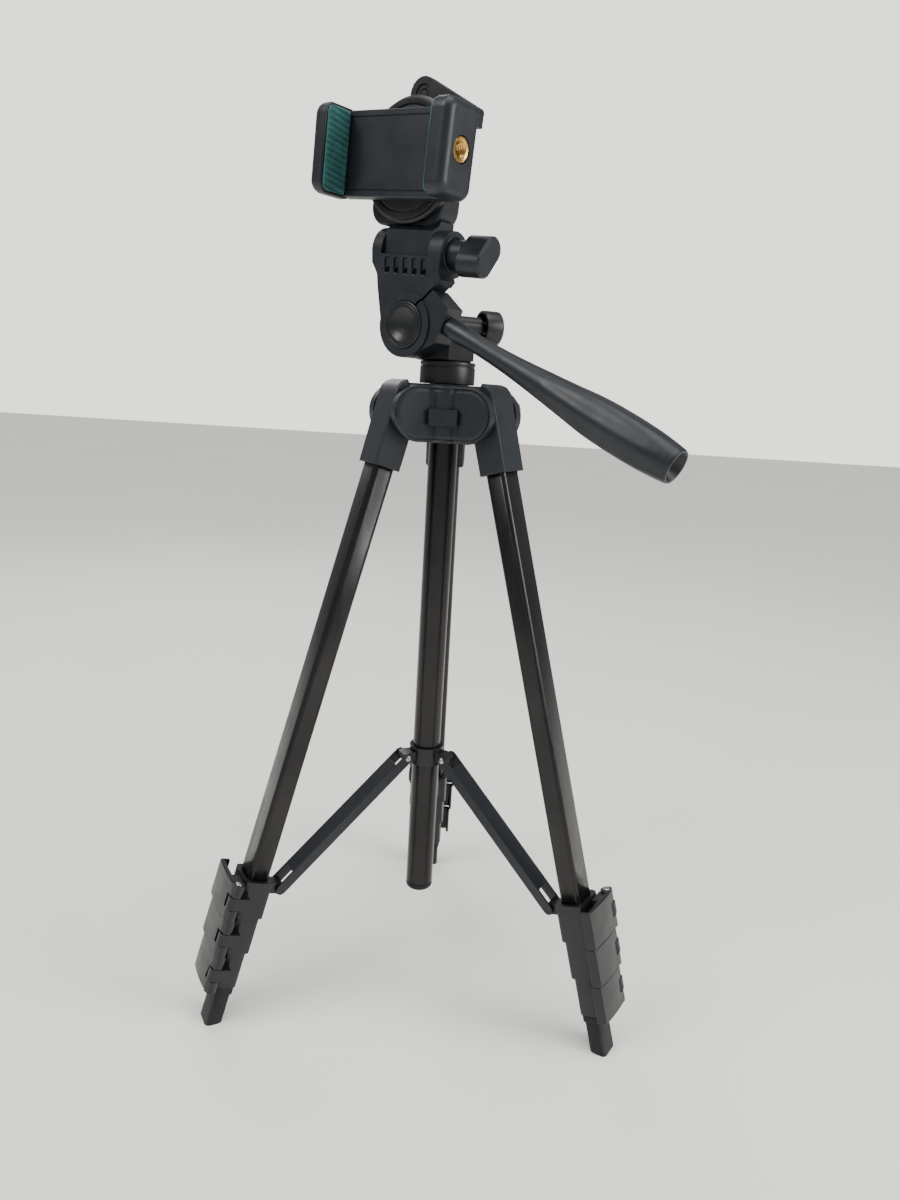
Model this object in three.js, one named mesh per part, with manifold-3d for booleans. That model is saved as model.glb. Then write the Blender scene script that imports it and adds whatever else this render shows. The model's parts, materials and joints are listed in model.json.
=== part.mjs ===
// Lightweight travel tripod with a pan-and-tilt head and a spring phone clip.
// Millimetres, +Z up. The tripod stands on its three feet at z = 0.
import * as THREE from 'three';
import { mergeVertices } from 'three/addons/utils/BufferGeometryUtils.js';
import Module from 'manifold-3d';

const wasm = await Module();
wasm.setup();

// ---------------------------------------------------------------- sizes

const RAD = Math.PI / 180;
const GAP = 0.3;                    // clearance between pieces that fit together

// Legs. Lengths run along the leg, from the fold pivot down to the sole.
const LEG_AZIMUTHS = { left: 210, right: 330, back: 90 };
const LEG_SPREAD = 16.05;           // lean of an open leg from vertical, degrees
const LEG_LENGTH = 334.6;
const LEG_OFFSET = 5.7;             // leg axis outboard of the fold pivot
const TUBE_DEPTH = 11;              // outermost tube, radial
const TUBE_WIDTH = 16;              // outermost tube, tangential
const TUBE_WALL = 0.8;
const TUBE_CORNER = 2.6;
const SECTION_COUNT = 4;
const FOOT_HEIGHT = 22;
const FOOT_WALL = 1.9;
const LOCK_PITCH = 20.3;
const LOCK_SPACE = 0.4;             // gap between stacked lock collars
const COLLAR_WALL_DEPTH = 2.0;
const COLLAR_WALL_WIDTH = 2.4;
const COLLAR_SEAT = 4;              // how far a tube end sits above its collar's lower edge

// Flip levers
const HINGE_OUT = 4.2;              // lever hinge beyond the collar's outer face
const HINGE_SIDE = 1.8;             // lever hinge beyond the collar's side face
const KNUCKLE_RADIUS = 3.4;
const KNUCKLE_HEIGHT = 6.5;
const HINGE_PIN_RADIUS = 1.2;
const LEVER_THICKNESS = 2.8;
const LEVER_OVERHANG = 5;           // lever panel past the collar's far side
const CAM_LENGTH = 11;

// Shoulder casting at the top of each leg
const SHOULDER_WIDTH = 21;
const SHOULDER_DEPTH = 14.3;
const SHOULDER_DROP = 30;           // lower end below the pivot, along the leg
const SHOULDER_RISE = 16;           // flat top above the pivot
const TUBE_STOP = 11.5;             // blind end of the tube socket below the pivot
const TRUNNION_RADIUS = 2.5;
const TRUNNION_LENGTH = 2.5;

// Hub
const PIVOT_RADIUS = 22;            // fold pivot from the column axis
const HUB_BARREL_RADIUS = 21.5;
const HUB_CORE_RADIUS = 17.3;       // floor of each leg slot
const WING_RADIUS = 13.8;           // round end of each oval wing
const WING_THICKNESS = 4.2;
const LOCK_SCREW_AZIMUTH = 30;
const LOCK_SCREW_RISE = 3;
const LOCK_SCREW_RADIUS = 2.1;
const LOCK_KNOB_RADIUS = 5.2;
const LOCK_KNOB_REACH = 43;
const STRAP_LUG = { width: 14, height: 8, reach: 23.8, drop: 1.5 };

// Column
const COLUMN_RADIUS = 7.5;
const COLUMN_WALL = 1;
const COLUMN_BOTTOM = 51;
const END_CAP_HEIGHT = 4;
const END_CAP_PLUG = 6;
const PAN_BASE_RADIUS = 14;
const PAN_BASE_HEIGHT = 11;
const PAN_BASE_SOCKET = 5;

// Spreader
const ARM_LENGTH = 95.7;
const ARM_WIDTH = 11.5;
const ARM_HEIGHT = 5.5;
const ARM_WALL = 1.2;
const ARM_FORK = { ring: 7, lug: 11 };   // top web cut back from each pivot
const ARM_PIN_RADIUS = 1.0;
const RING_PIVOT_RADIUS = 13.6;
const RING_RADIUS = 9.4;
const RING_HEIGHT = 10;
const EAR_RADIUS = 2.5;
const LUG = { inboard: 14.7, height: 76.8, radius: 2.8 };

// Head. Its own x axis is the handle's side, and y is along the tilt axle.
const HEAD_TURN = -35;              // head turned about the column, degrees
const HEAD_TILT = 5;                // handle side down, degrees
const TILT_AXIS_X = -10.5;
const TILT_AXIS_RISE = 16;          // tilt axle above the top of the pan base
const AXLE_RADIUS = 4;
const PAN_BLOCK = { left: -13.5, right: 8.6, front: -11, back: 10, height: 10.7 };
const TONGUE_RADIUS = 12.5;
const BOSS_RADIUS = 15.5;
const BOSS_FRONT = -24;
const AXLE_CAP_RADIUS = 11.3;
const AXLE_CAP_PROUD = 0.8;
const AXLE_CAP_SEAT = 2;
const PAN_LOCK = { azimuth: 60, rise: 2, seat: 16, face: 17, reach: 27, radius: 8.6, wall: 1.3 };
const PAN_LOCK_SCREW_RADIUS = 2;
const FLIP_AXIS = { y: -12, z: 34.7 };
const FLIP_BARREL = { radius: 10.8, left: -26.6, right: 17, earLeft: -20.5, earRight: 9.3 };
const FLIP_SHAFT_RADIUS = 4;
const FLIP_SHAFT_SEAT = 3.5;         // blind end of the shaft in the left ear
const ARM_WAIST = { x: -20.2, z: 16 };
const ARM_FRONT = BOSS_FRONT + 1;
const CRADLE_TOP = 32.3;             // front lip under the flip knuckle
const GRILLE = { count: 5, width: 2.6, height: 7.4, pitch: 5.8, depth: 2.4, centre: -4, z: 27.2 };
const SLIT = { x: 4.4, z: 8, angle: 43.5, length: 17, width: 1.2 };

// Handle
const HANDLE_ROOT = { x: 23.2, z: 1.6 };
const HANDLE_Y = -17.3;
const HANDLE_DROP = 19.2;           // below the tilted head's x axis, degrees
const HANDLE_LENGTH = 135;
const HANDLE_TAIL = { radius: 3, length: 12 };
const HANDLE_HOLE = { radius: 4, depth: 14 };
const HANDLE_PROFILE = [            // radius at a share of the length
  [0.00, 4.6], [0.05, 5.0], [0.14, 4.4], [0.28, 4.9], [0.42, 6.3], [0.56, 8.2],
  [0.68, 9.8], [0.80, 10.1], [0.90, 9.6], [0.97, 8.6], [1.00, 8.1],
];

// Flip platform, quick-release plate and its lever
const PLATFORM = { left: -36, right: 9.5, bottom: 46.2, top: 94, front: -16, back: -2.5, corner: 9 };
const KNUCKLE = { radius: 7.5, neckFront: -20.5, neckBack: -5, neckRise: 9.3 };
const DISC = { x: -11.5, z: 75.3, radius: 28.4, thickness: 5.4 };
const RELEASE_PIVOT = { x: -10.5, z: 104.8, radius: 7.8, pin: 2, recess: 4.3 };
const RELEASE_TIP = { x: 21.2, z: 95.8, radius: 2.6, hook: 6 };
const RELEASE_LEVER_THICKNESS = 4.9;
const CAMERA_SCREW = { radius: 3.1, headRadius: 7, headHeight: 2.2, bite: 5 };

// Flip lock knob
const FLIP_KNOB = { neckRadius: 7, neck: 6.6, length: 21.5, width: 12.6, reach: 38, turn: 37 };

// Phone clip, centred on the quick-release plate
const CLIP = { x: -10.5, z: 76, height: 40.6, depth: 23.8, opening: 64, corner: 6 };
const FIXED_JAW = 8.6;
const SLIDING_JAW = 10.4;
const CLIP_BACK = 7.5;
const CLIP_BACK_INSET = 1;
const RAIL = { height: 5, thickness: 2.5, spread: 11, length: 34 };
const PAD = { thickness: 1.5, rib: 0.8, ribs: 13, margin: 1.6 };
const INSERT = { radius: 5.5, bore: 2.6, length: 7, recess: 0.3 };

// ------------------------------------------------------- derived heights

const spreadSin = Math.sin(LEG_SPREAD * RAD);
const spreadCos = Math.cos(LEG_SPREAD * RAD);
const PIVOT_HEIGHT = LEG_LENGTH * spreadCos - LEG_OFFSET * spreadSin;
const HUB_TOP = PIVOT_HEIGHT + WING_RADIUS + 0.7;
const HUB_BOTTOM = PIVOT_HEIGHT - WING_RADIUS;
const SLOT_HALF = SHOULDER_WIDTH / 2 + GAP;
const PAN_BASE_BOTTOM = HUB_TOP + GAP;
const PAN_BASE_TOP = PAN_BASE_BOTTOM + PAN_BASE_HEIGHT;
const PAN_BLOCK_BOTTOM = PAN_BASE_TOP + GAP;
const TILT_AXIS_Z = PAN_BASE_TOP + TILT_AXIS_RISE;
const BOSS_BACK = PAN_BLOCK.front - GAP;
const DISC_FRONT = PLATFORM.front - GAP - DISC.thickness;
const CLIP_REAR = DISC_FRONT - GAP;
const CLIP_FRONT = CLIP_REAR - CLIP.depth;
const CLIP_LEFT = CLIP.x - (FIXED_JAW + CLIP.opening + SLIDING_JAW) / 2;
const OPENING_LEFT = CLIP_LEFT + FIXED_JAW;
const OPENING_RIGHT = OPENING_LEFT + CLIP.opening;
const PLATE_FRONT = CLIP_REAR - CLIP_BACK;
const RAIL_CENTRE = CLIP_REAR - CLIP_BACK / 2;

// ------------------------------------------------------------ materials

function finish(colour, roughness, metalness = 0) {
  return new THREE.MeshStandardMaterial({ color: colour, roughness, metalness });
}

const charcoal = finish(0x26282c, 0.5);
const satinBlack = finish(0x1b1d20, 0.4);
const anodised = finish(0x17161a, 0.32, 0.75);
const rubber = finish(0x101112, 0.85);
const teal = finish(0x1f5a52, 0.75);
const brass = finish(0xc79a45, 0.3, 1);
const steel = finish(0x8d9094, 0.35, 1);

// ---------------------------------------------------------- shape tools

function solidOf(geometry) {
  const bare = geometry.clone();
  bare.deleteAttribute('normal');
  bare.deleteAttribute('uv');
  const merged = mergeVertices(bare, 1e-4);
  return new wasm.Manifold(new wasm.Mesh({
    numProp: 3,
    vertProperties: new Float32Array(merged.attributes.position.array),
    triVerts: new Uint32Array(merged.index.array),
  }));
}

function geometryOf(solid) {
  const mesh = solid.getMesh();
  const geometry = new THREE.BufferGeometry();
  geometry.setAttribute('position', new THREE.BufferAttribute(mesh.vertProperties, 3));
  geometry.setIndex(new THREE.BufferAttribute(mesh.triVerts, 1));
  geometry.computeVertexNormals();
  return geometry;
}

function piece(parent, name, solid, material) {
  const mesh = new THREE.Mesh(geometryOf(solid), material);
  mesh.name = name;
  parent.add(mesh);
}

function outline(points) {
  return new THREE.Shape(points.map(([u, v]) => new THREE.Vector2(u, v)));
}

function circle(radius, u = 0, v = 0) {
  const shape = new THREE.Shape();
  shape.absarc(u, v, radius, 0, 2 * Math.PI, false);
  return shape;
}

function roundedRectangle(u0, u1, v0, v1, radius) {
  const shape = new THREE.Shape();
  shape.absarc(u1 - radius, v0 + radius, radius, -Math.PI / 2, 0, false);
  shape.absarc(u1 - radius, v1 - radius, radius, 0, Math.PI / 2, false);
  shape.absarc(u0 + radius, v1 - radius, radius, Math.PI / 2, Math.PI, false);
  shape.absarc(u0 + radius, v0 + radius, radius, Math.PI, 1.5 * Math.PI, false);
  return shape;
}

// The convex outline round two circles, for bars with round ends.
function taperedBar(a, b) {
  const heading = Math.atan2(b.z - a.z, b.x - a.x);
  const length = Math.hypot(b.z - a.z, b.x - a.x);
  const flare = Math.acos((a.radius - b.radius) / length);
  const shape = new THREE.Shape();
  shape.absarc(b.x, b.z, b.radius, heading - flare, heading + flare, false);
  shape.absarc(a.x, a.z, a.radius, heading + flare, heading - flare + 2 * Math.PI, false);
  return shape;
}

// Extrudes an outline along Z, with optional rounded rims kept inside its size.
function prismZ(shape, z0, z1, { rim = 0, curve = 2 } = {}) {
  const geometry = new THREE.ExtrudeGeometry(shape, {
    depth: z1 - z0 - 2 * rim,
    curveSegments: curve,
    bevelEnabled: rim > 0,
    bevelThickness: rim,
    bevelSize: rim,
    bevelOffset: -rim,
    bevelSegments: 1,
  });
  geometry.translate(0, 0, z0 + rim);
  return geometry;
}

// The outline's u, v become x, z, and it runs along Y.
function prismY(shape, y0, y1, options) {
  return prismZ(shape, -y1, -y0, options).rotateX(Math.PI / 2);
}

// The outline's u, v become y, z, and it runs along X.
function prismX(shape, x0, x1, options) {
  const turn = new THREE.Matrix4().makeBasis(
    new THREE.Vector3(0, 1, 0), new THREE.Vector3(0, 0, 1), new THREE.Vector3(1, 0, 0));
  return prismZ(shape, x0, x1, options).applyMatrix4(turn);
}

function box(x0, x1, y0, y1, z0, z1) {
  return new THREE.BoxGeometry(x1 - x0, y1 - y0, z1 - z0)
    .translate((x0 + x1) / 2, (y0 + y1) / 2, (z0 + z1) / 2);
}

function drumZ(radius, z0, z1, sides = 24) {
  return new THREE.CylinderGeometry(radius, radius, z1 - z0, sides)
    .rotateX(Math.PI / 2).translate(0, 0, (z0 + z1) / 2);
}

function drumY(radius, y0, y1, sides = 24) {
  return new THREE.CylinderGeometry(radius, radius, y1 - y0, sides)
    .translate(0, (y0 + y1) / 2, 0);
}

function drumX(radius, x0, x1, sides = 24) {
  return new THREE.CylinderGeometry(radius, radius, x1 - x0, sides)
    .rotateZ(Math.PI / 2).translate((x0 + x1) / 2, 0, 0);
}

// A profile of [radius, z] points from one end of the axis to the other.
function turned(profile, sides = 24) {
  const points = profile.map(([radius, z]) => new THREE.Vector2(radius, z));
  return new THREE.LatheGeometry(points, sides).rotateX(Math.PI / 2);
}

function union(...geometries) {
  return geometries.map(solidOf).reduce((whole, part) => whole.add(part));
}

function cut(solid, ...geometries) {
  return geometries.map(solidOf).reduce((rest, tool) => rest.subtract(tool), solid);
}

// ----------------------------------------------------------------- legs

// Half sizes of each telescoping tube, outermost first.
function sectionHalves() {
  const step = TUBE_WALL + GAP;
  return Array.from({ length: SECTION_COUNT }, (_, index) => ({
    x: TUBE_DEPTH / 2 - step * index,
    y: TUBE_WIDTH / 2 - step * index,
    corner: Math.max(TUBE_CORNER - 0.6 * index, 0.9),
  }));
}

function tube(half, bottom, top) {
  const inner = Math.max(half.corner - TUBE_WALL, 0.3);
  const outside = roundedRectangle(-half.x, half.x, -half.y, half.y, half.corner);
  const bore = roundedRectangle(
    -half.x + TUBE_WALL, half.x - TUBE_WALL, -half.y + TUBE_WALL, half.y - TUBE_WALL, inner);
  return cut(union(prismZ(outside, bottom, top, { curve: 1 })),
    prismZ(bore, bottom - 1, top + 1, { curve: 1 }));
}

function collarHalf(half) {
  return { x: half.x + GAP + COLLAR_WALL_DEPTH, y: half.y + GAP + COLLAR_WALL_WIDTH };
}

function leverHinge(half) {
  const outer = collarHalf(half);
  return { x: outer.x + HINGE_OUT, y: outer.y + HINGE_SIDE };
}

function collar(half, bottom, top, withLug) {
  const outer = collarHalf(half);
  const hinge = leverHinge(half);
  const middle = (bottom + top) / 2;
  const low = middle - KNUCKLE_HEIGHT / 2;
  const high = middle + KNUCKLE_HEIGHT / 2;
  const arms = [
    prismZ(roundedRectangle(-outer.x, outer.x, -outer.y, outer.y, 3), bottom, top, { curve: 1 }),
    drumZ(KNUCKLE_RADIUS, low, high, 12).translate(hinge.x, hinge.y, 0),
    box(outer.x - 1, hinge.x, hinge.y - 3.2, hinge.y + 3.2, low, high),
    box(outer.x - 3, outer.x - 0.5, outer.y - 3, hinge.y + 3.2, low, high),
  ];
  if (withLug) {
    const bar = taperedBar({ x: -outer.x + 1, z: LUG.height, radius: LUG.radius },
      { x: -LUG.inboard, z: LUG.height, radius: LUG.radius - 0.01 });
    const halfThick = ARM_WIDTH / 2 - ARM_WALL - 2 * GAP;
    arms.push(prismY(bar, -halfThick, halfThick));
  }
  const clear = roundedRectangle(
    -half.x - GAP, half.x + GAP, -half.y - GAP, half.y + GAP, half.corner + GAP);
  const tools = [
    prismZ(clear, bottom - 1, top + 1, { curve: 1 }),
    drumZ(HINGE_PIN_RADIUS + GAP, low - 1, high + 1, 10).translate(hinge.x, hinge.y, 0),
  ];
  if (withLug) {
    tools.push(drumY(ARM_PIN_RADIUS + GAP, -ARM_WIDTH, ARM_WIDTH, 10)
      .translate(-LUG.inboard, 0, LUG.height));
  }
  return cut(union(...arms), ...tools);
}

// Flip lever: outer panel, cam block and two hinge knuckles on one pin.
function lever(half, bottom, top) {
  const outer = collarHalf(half);
  const hinge = leverHinge(half);
  const middle = (bottom + top) / 2;
  const notch = KNUCKLE_HEIGHT / 2 + GAP;
  const inside = hinge.x + 0.6;
  const panel = roundedRectangle(-outer.y - LEVER_OVERHANG, hinge.y, bottom, top, 1.6);
  const body = union(
    prismX(panel, inside, inside + LEVER_THICKNESS, { rim: 0.6, curve: 1 }),
    box(outer.x + 0.4, inside + 1, hinge.y - CAM_LENGTH - 1, hinge.y - 1, bottom + 1, top - 1),
    drumZ(KNUCKLE_RADIUS, bottom, top, 12).translate(hinge.x, hinge.y, 0),
  );
  const opened = cut(body, box(outer.x - 1, inside + LEVER_THICKNESS + 1,
    hinge.y - KNUCKLE_RADIUS - 0.5, hinge.y + KNUCKLE_RADIUS + 1, middle - notch, middle + notch));
  return opened.add(solidOf(drumZ(HINGE_PIN_RADIUS, bottom + 1, top - 1, 10)
    .translate(hinge.x, hinge.y, 0)));
}

// The boot is built along the leg and cut off level with the floor.
function foot(half) {
  const outer = { x: half.x + GAP + FOOT_WALL, y: half.y + GAP + FOOT_WALL };
  const toe = 8;
  const blank = union(
    prismZ(roundedRectangle(-outer.x, outer.x, -outer.y, outer.y, 2.4), -toe, FOOT_HEIGHT - LOCK_SPACE,
      { rim: 0.8, curve: 1 }),
    prismZ(roundedRectangle(-outer.x - 0.8, outer.x + 0.8, -outer.y - 0.8, outer.y + 0.8, 2.8),
      FOOT_HEIGHT - LOCK_SPACE - 4, FOOT_HEIGHT - LOCK_SPACE, { curve: 1 }),
  );
  const floor = box(-60, 60, -60, 60, -60, 0).rotateY(LEG_SPREAD * RAD);
  const socket = prismZ(
    roundedRectangle(-half.x - GAP, half.x + GAP, -half.y - GAP, half.y + GAP, half.corner + GAP),
    FOOT_WALL + 3, FOOT_HEIGHT + 1, { curve: 1 });
  return cut(blank, floor, socket);
}

// Built upright at the pivot, x outwards from the column.
function shoulder(half) {
  const along = (out, down) => [
    (LEG_OFFSET + out) * spreadCos + down * spreadSin,
    (LEG_OFFSET + out) * spreadSin - down * spreadCos,
  ];
  const inner = PIVOT_RADIUS - HUB_CORE_RADIUS - GAP;
  const innerOut = -SHOULDER_DEPTH / 2;
  const chord = LEG_OFFSET + innerOut;
  const arcStart = Math.atan2(...along(innerOut, Math.sqrt(inner ** 2 - chord ** 2)).reverse());
  const shape = new THREE.Shape();
  shape.moveTo(-inner, SHOULDER_RISE);
  shape.absarc(0, 0, inner, Math.PI, 2 * Math.PI + arcStart, false);
  shape.lineTo(...along(innerOut, SHOULDER_DROP));
  shape.lineTo(...along(SHOULDER_DEPTH / 2, SHOULDER_DROP));
  shape.lineTo(...along(SHOULDER_DEPTH / 2 + 0.6, -5));
  shape.quadraticCurveTo(inner + 6, SHOULDER_RISE - 0.6, inner, SHOULDER_RISE);
  const halfWidth = SHOULDER_WIDTH / 2;
  const trunnion = halfWidth + TRUNNION_LENGTH;
  const casting = union(
    prismY(shape, -halfWidth, halfWidth, { rim: 0.9, curve: 3 }),
    drumY(TRUNNION_RADIUS, -trunnion, trunnion, 12),
  );
  const socket = prismZ(
    roundedRectangle(-half.x - GAP, half.x + GAP, -half.y - GAP, half.y + GAP, half.corner + GAP),
    -SHOULDER_DROP - 5, -TUBE_STOP, { curve: 1 })
    .translate(LEG_OFFSET, 0, 0).rotateY(-LEG_SPREAD * RAD);
  return cut(casting, socket);
}

function buildLeg(parent, side, azimuth) {
  const halves = sectionHalves();
  const swing = new THREE.Group();
  swing.rotation.z = azimuth * RAD;
  const upright = new THREE.Group();
  upright.position.set(PIVOT_RADIUS, 0, PIVOT_HEIGHT);
  const leaning = new THREE.Group();
  leaning.rotation.y = -LEG_SPREAD * RAD;
  const axis = new THREE.Group();
  axis.position.set(LEG_OFFSET, 0, -LEG_LENGTH);
  parent.add(swing);
  swing.add(upright);
  upright.add(leaning);
  leaning.add(axis);

  piece(upright, `leg_shoulder_${side}`, shoulder(halves[0]), charcoal);
  const socketTop = LEG_LENGTH - TUBE_STOP - GAP;
  const topStep = 10;
  halves.forEach((half, index) => {
    const number = index + 1;
    const isLast = number === SECTION_COUNT;
    const lockBottom = FOOT_HEIGHT + (SECTION_COUNT - 1 - number) * LOCK_PITCH;
    const lockTop = lockBottom + LOCK_PITCH - LOCK_SPACE;
    const tubeBottom = isLast ? FOOT_WALL + 3 + GAP : lockBottom + COLLAR_SEAT;
    piece(axis, `leg_tube_${number}_${side}`,
      tube(half, tubeBottom, socketTop - topStep * index), anodised);
    if (isLast) {
      piece(axis, `foot_${side}`, foot(half), rubber);
      return;
    }
    piece(axis, `lock_collar_${number}_${side}`, collar(half, lockBottom, lockTop, number === 1),
      satinBlack);
    piece(axis, `flip_lever_${number}_${side}`, lever(half, lockBottom, lockTop), satinBlack);
  });
}

// ------------------------------------------------------------------ hub

function hubBody() {
  const barrel = drumZ(HUB_BARREL_RADIUS, HUB_BOTTOM, HUB_TOP, 36);
  const wings = [];
  const slots = [];
  for (const azimuth of Object.values(LEG_AZIMUTHS)) {
    const turn = azimuth * RAD;
    const inner = 8;
    const oval = new THREE.Shape();
    oval.moveTo(inner, PIVOT_HEIGHT - WING_RADIUS);
    oval.absarc(PIVOT_RADIUS, PIVOT_HEIGHT, WING_RADIUS, -Math.PI / 2, Math.PI / 2, false);
    oval.lineTo(inner, PIVOT_HEIGHT + WING_RADIUS);
    for (const side of [-1, 1]) {
      const near = side * SLOT_HALF;
      const far = side * (SLOT_HALF + WING_THICKNESS);
      wings.push(prismY(oval, Math.min(near, far), Math.max(near, far), { curve: 6 }).rotateZ(turn));
    }
    slots.push(box(HUB_CORE_RADIUS, 60, -SLOT_HALF, SLOT_HALF, 0, 500).rotateZ(turn));
    const hole = SLOT_HALF + TRUNNION_LENGTH + GAP;
    slots.push(drumY(TRUNNION_RADIUS + GAP, -hole, hole, 12)
      .translate(PIVOT_RADIUS, 0, PIVOT_HEIGHT).rotateZ(turn));
  }
  const lugTurn = 270 * RAD;
  const lugMiddle = PIVOT_HEIGHT - STRAP_LUG.drop;
  const lugLow = lugMiddle - STRAP_LUG.height / 2;
  const lugHigh = lugMiddle + STRAP_LUG.height / 2;
  const lug = box(12, STRAP_LUG.reach, -STRAP_LUG.width / 2, STRAP_LUG.width / 2, lugLow, lugHigh)
    .rotateZ(lugTurn);
  const strapWay = box(18.4, STRAP_LUG.reach - 2.6, -13, 13, lugLow + 1, lugHigh - 1).rotateZ(lugTurn);
  const screwWay = drumX(LOCK_SCREW_RADIUS + GAP, 0, 40, 20)
    .translate(0, 0, PIVOT_HEIGHT + LOCK_SCREW_RISE).rotateZ(LOCK_SCREW_AZIMUTH * RAD);
  const bore = drumZ(COLUMN_RADIUS + GAP, HUB_BOTTOM - 1, HUB_TOP + 1, 32);
  return cut(union(barrel, ...wings, lug), ...slots, strapWay, screwWay, bore);
}

// Ribbed thumb screw, along X from the column outwards.
function columnLockKnob() {
  const start = COLUMN_RADIUS + 1;
  const neck = 27;
  const grip = new THREE.Shape();
  const ribs = 10;
  for (let step = 0; step < 4 * ribs; step += 1) {
    const radius = step % 4 < 2 ? LOCK_KNOB_RADIUS : LOCK_KNOB_RADIUS - 0.6;
    const angle = (step * 2 * Math.PI) / (4 * ribs);
    grip[step ? 'lineTo' : 'moveTo'](radius * Math.cos(angle), radius * Math.sin(angle));
  }
  return union(
    drumX(LOCK_SCREW_RADIUS, start, neck + 1, 20),
    prismX(grip, neck, LOCK_KNOB_REACH),
  );
}

// --------------------------------------------------------------- column

function columnTube() {
  const bottom = COLUMN_BOTTOM + END_CAP_HEIGHT + GAP;
  const top = PAN_BASE_BOTTOM + PAN_BASE_SOCKET - GAP;
  return cut(union(drumZ(COLUMN_RADIUS, bottom, top, 32)),
    drumZ(COLUMN_RADIUS - COLUMN_WALL, bottom - 1, top + 1, 32));
}

function columnEndCap() {
  const shoulderZ = COLUMN_BOTTOM + END_CAP_HEIGHT;
  const plug = COLUMN_RADIUS - COLUMN_WALL - GAP;
  return union(turned([
    [0, COLUMN_BOTTOM],
    [COLUMN_RADIUS - 2, COLUMN_BOTTOM],
    [COLUMN_RADIUS - 0.6, COLUMN_BOTTOM + 1],
    [COLUMN_RADIUS, COLUMN_BOTTOM + 2.4],
    [COLUMN_RADIUS, shoulderZ],
    [plug, shoulderZ],
    [plug, shoulderZ + END_CAP_PLUG],
    [0, shoulderZ + END_CAP_PLUG],
  ], 32));
}

function panBase() {
  const socket = COLUMN_RADIUS + GAP;
  const shelf = PAN_BASE_BOTTOM + PAN_BASE_SOCKET;
  return union(turned([
    [0, shelf],
    [socket, shelf],
    [socket, PAN_BASE_BOTTOM],
    [PAN_BASE_RADIUS - 0.6, PAN_BASE_BOTTOM],
    [PAN_BASE_RADIUS, PAN_BASE_BOTTOM + 0.6],
    [PAN_BASE_RADIUS, PAN_BASE_TOP - 0.8],
    [PAN_BASE_RADIUS - 0.8, PAN_BASE_TOP],
    [0, PAN_BASE_TOP],
  ], 32));
}

// ------------------------------------------------------------- spreader

// Lug pivot of an open leg, as radius and height.
function lugPivot() {
  const out = LEG_OFFSET - LUG.inboard;
  const down = LEG_LENGTH - LUG.height;
  return {
    radius: PIVOT_RADIUS + out * spreadCos + down * spreadSin,
    height: PIVOT_HEIGHT + out * spreadSin - down * spreadCos,
  };
}

function ringPivotHeight() {
  const lug = lugPivot();
  return lug.height + Math.sqrt(ARM_LENGTH ** 2 - (lug.radius - RING_PIVOT_RADIUS) ** 2);
}

function spreaderRing() {
  const pivot = ringPivotHeight();
  const earHalf = ARM_WIDTH / 2 - ARM_WALL - 2 * GAP;
  const solids = [drumZ(RING_RADIUS, pivot - RING_HEIGHT / 2, pivot + RING_HEIGHT / 2, 36)];
  const tools = [];
  for (const azimuth of Object.values(LEG_AZIMUTHS)) {
    const bar = taperedBar({ x: COLUMN_RADIUS, z: pivot, radius: EAR_RADIUS },
      { x: RING_PIVOT_RADIUS, z: pivot, radius: EAR_RADIUS - 0.01 });
    solids.push(prismY(bar, -earHalf, earHalf).rotateZ(azimuth * RAD));
    tools.push(drumY(ARM_PIN_RADIUS + GAP, -ARM_WIDTH, ARM_WIDTH, 10)
      .translate(RING_PIVOT_RADIUS, 0, pivot).rotateZ(azimuth * RAD));
  }
  const bore = drumZ(COLUMN_RADIUS + GAP, pivot - RING_HEIGHT, pivot + RING_HEIGHT, 32);
  return cut(union(...solids), ...tools, bore);
}

// Channel open downwards, forked at both ends, with its pin at the ring end.
function spreaderArm() {
  const half = ARM_WIDTH / 2;
  const cheek = half - ARM_WALL;
  const radius = ARM_HEIGHT / 2;
  const side = taperedBar({ x: 0, z: 0, radius }, { x: ARM_LENGTH, z: 0, radius: radius - 0.01 });
  const channel = box(-radius - 1, ARM_LENGTH + radius + 1, -cheek, cheek, -radius - 1, radius - ARM_WALL);
  const ringFork = box(-radius - 1, ARM_FORK.ring, -cheek, cheek, -radius - 1, radius + 1);
  const lugFork = box(ARM_LENGTH - ARM_FORK.lug, ARM_LENGTH + radius + 1, -cheek, cheek,
    -radius - 1, radius + 1);
  const body = cut(union(prismY(side, -half, half)), channel, ringFork, lugFork);
  return body.add(solidOf(drumY(ARM_PIN_RADIUS, -half + 0.4, half - 0.4, 10)));
}

function buildSpreader(parent) {
  const lug = lugPivot();
  const height = ringPivotHeight();
  const slope = Math.atan2(height - lug.height, lug.radius - RING_PIVOT_RADIUS);
  piece(parent, 'spreader_ring', spreaderRing(), satinBlack);
  for (const [side, azimuth] of Object.entries(LEG_AZIMUTHS)) {
    const swing = new THREE.Group();
    swing.rotation.z = azimuth * RAD;
    const pivot = new THREE.Group();
    pivot.position.set(RING_PIVOT_RADIUS, 0, height);
    pivot.rotation.y = slope;
    parent.add(swing);
    swing.add(pivot);
    piece(pivot, `spreader_arm_${side}`, spreaderArm(), charcoal);
  }
}

// ----------------------------------------------------------------- head

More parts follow.
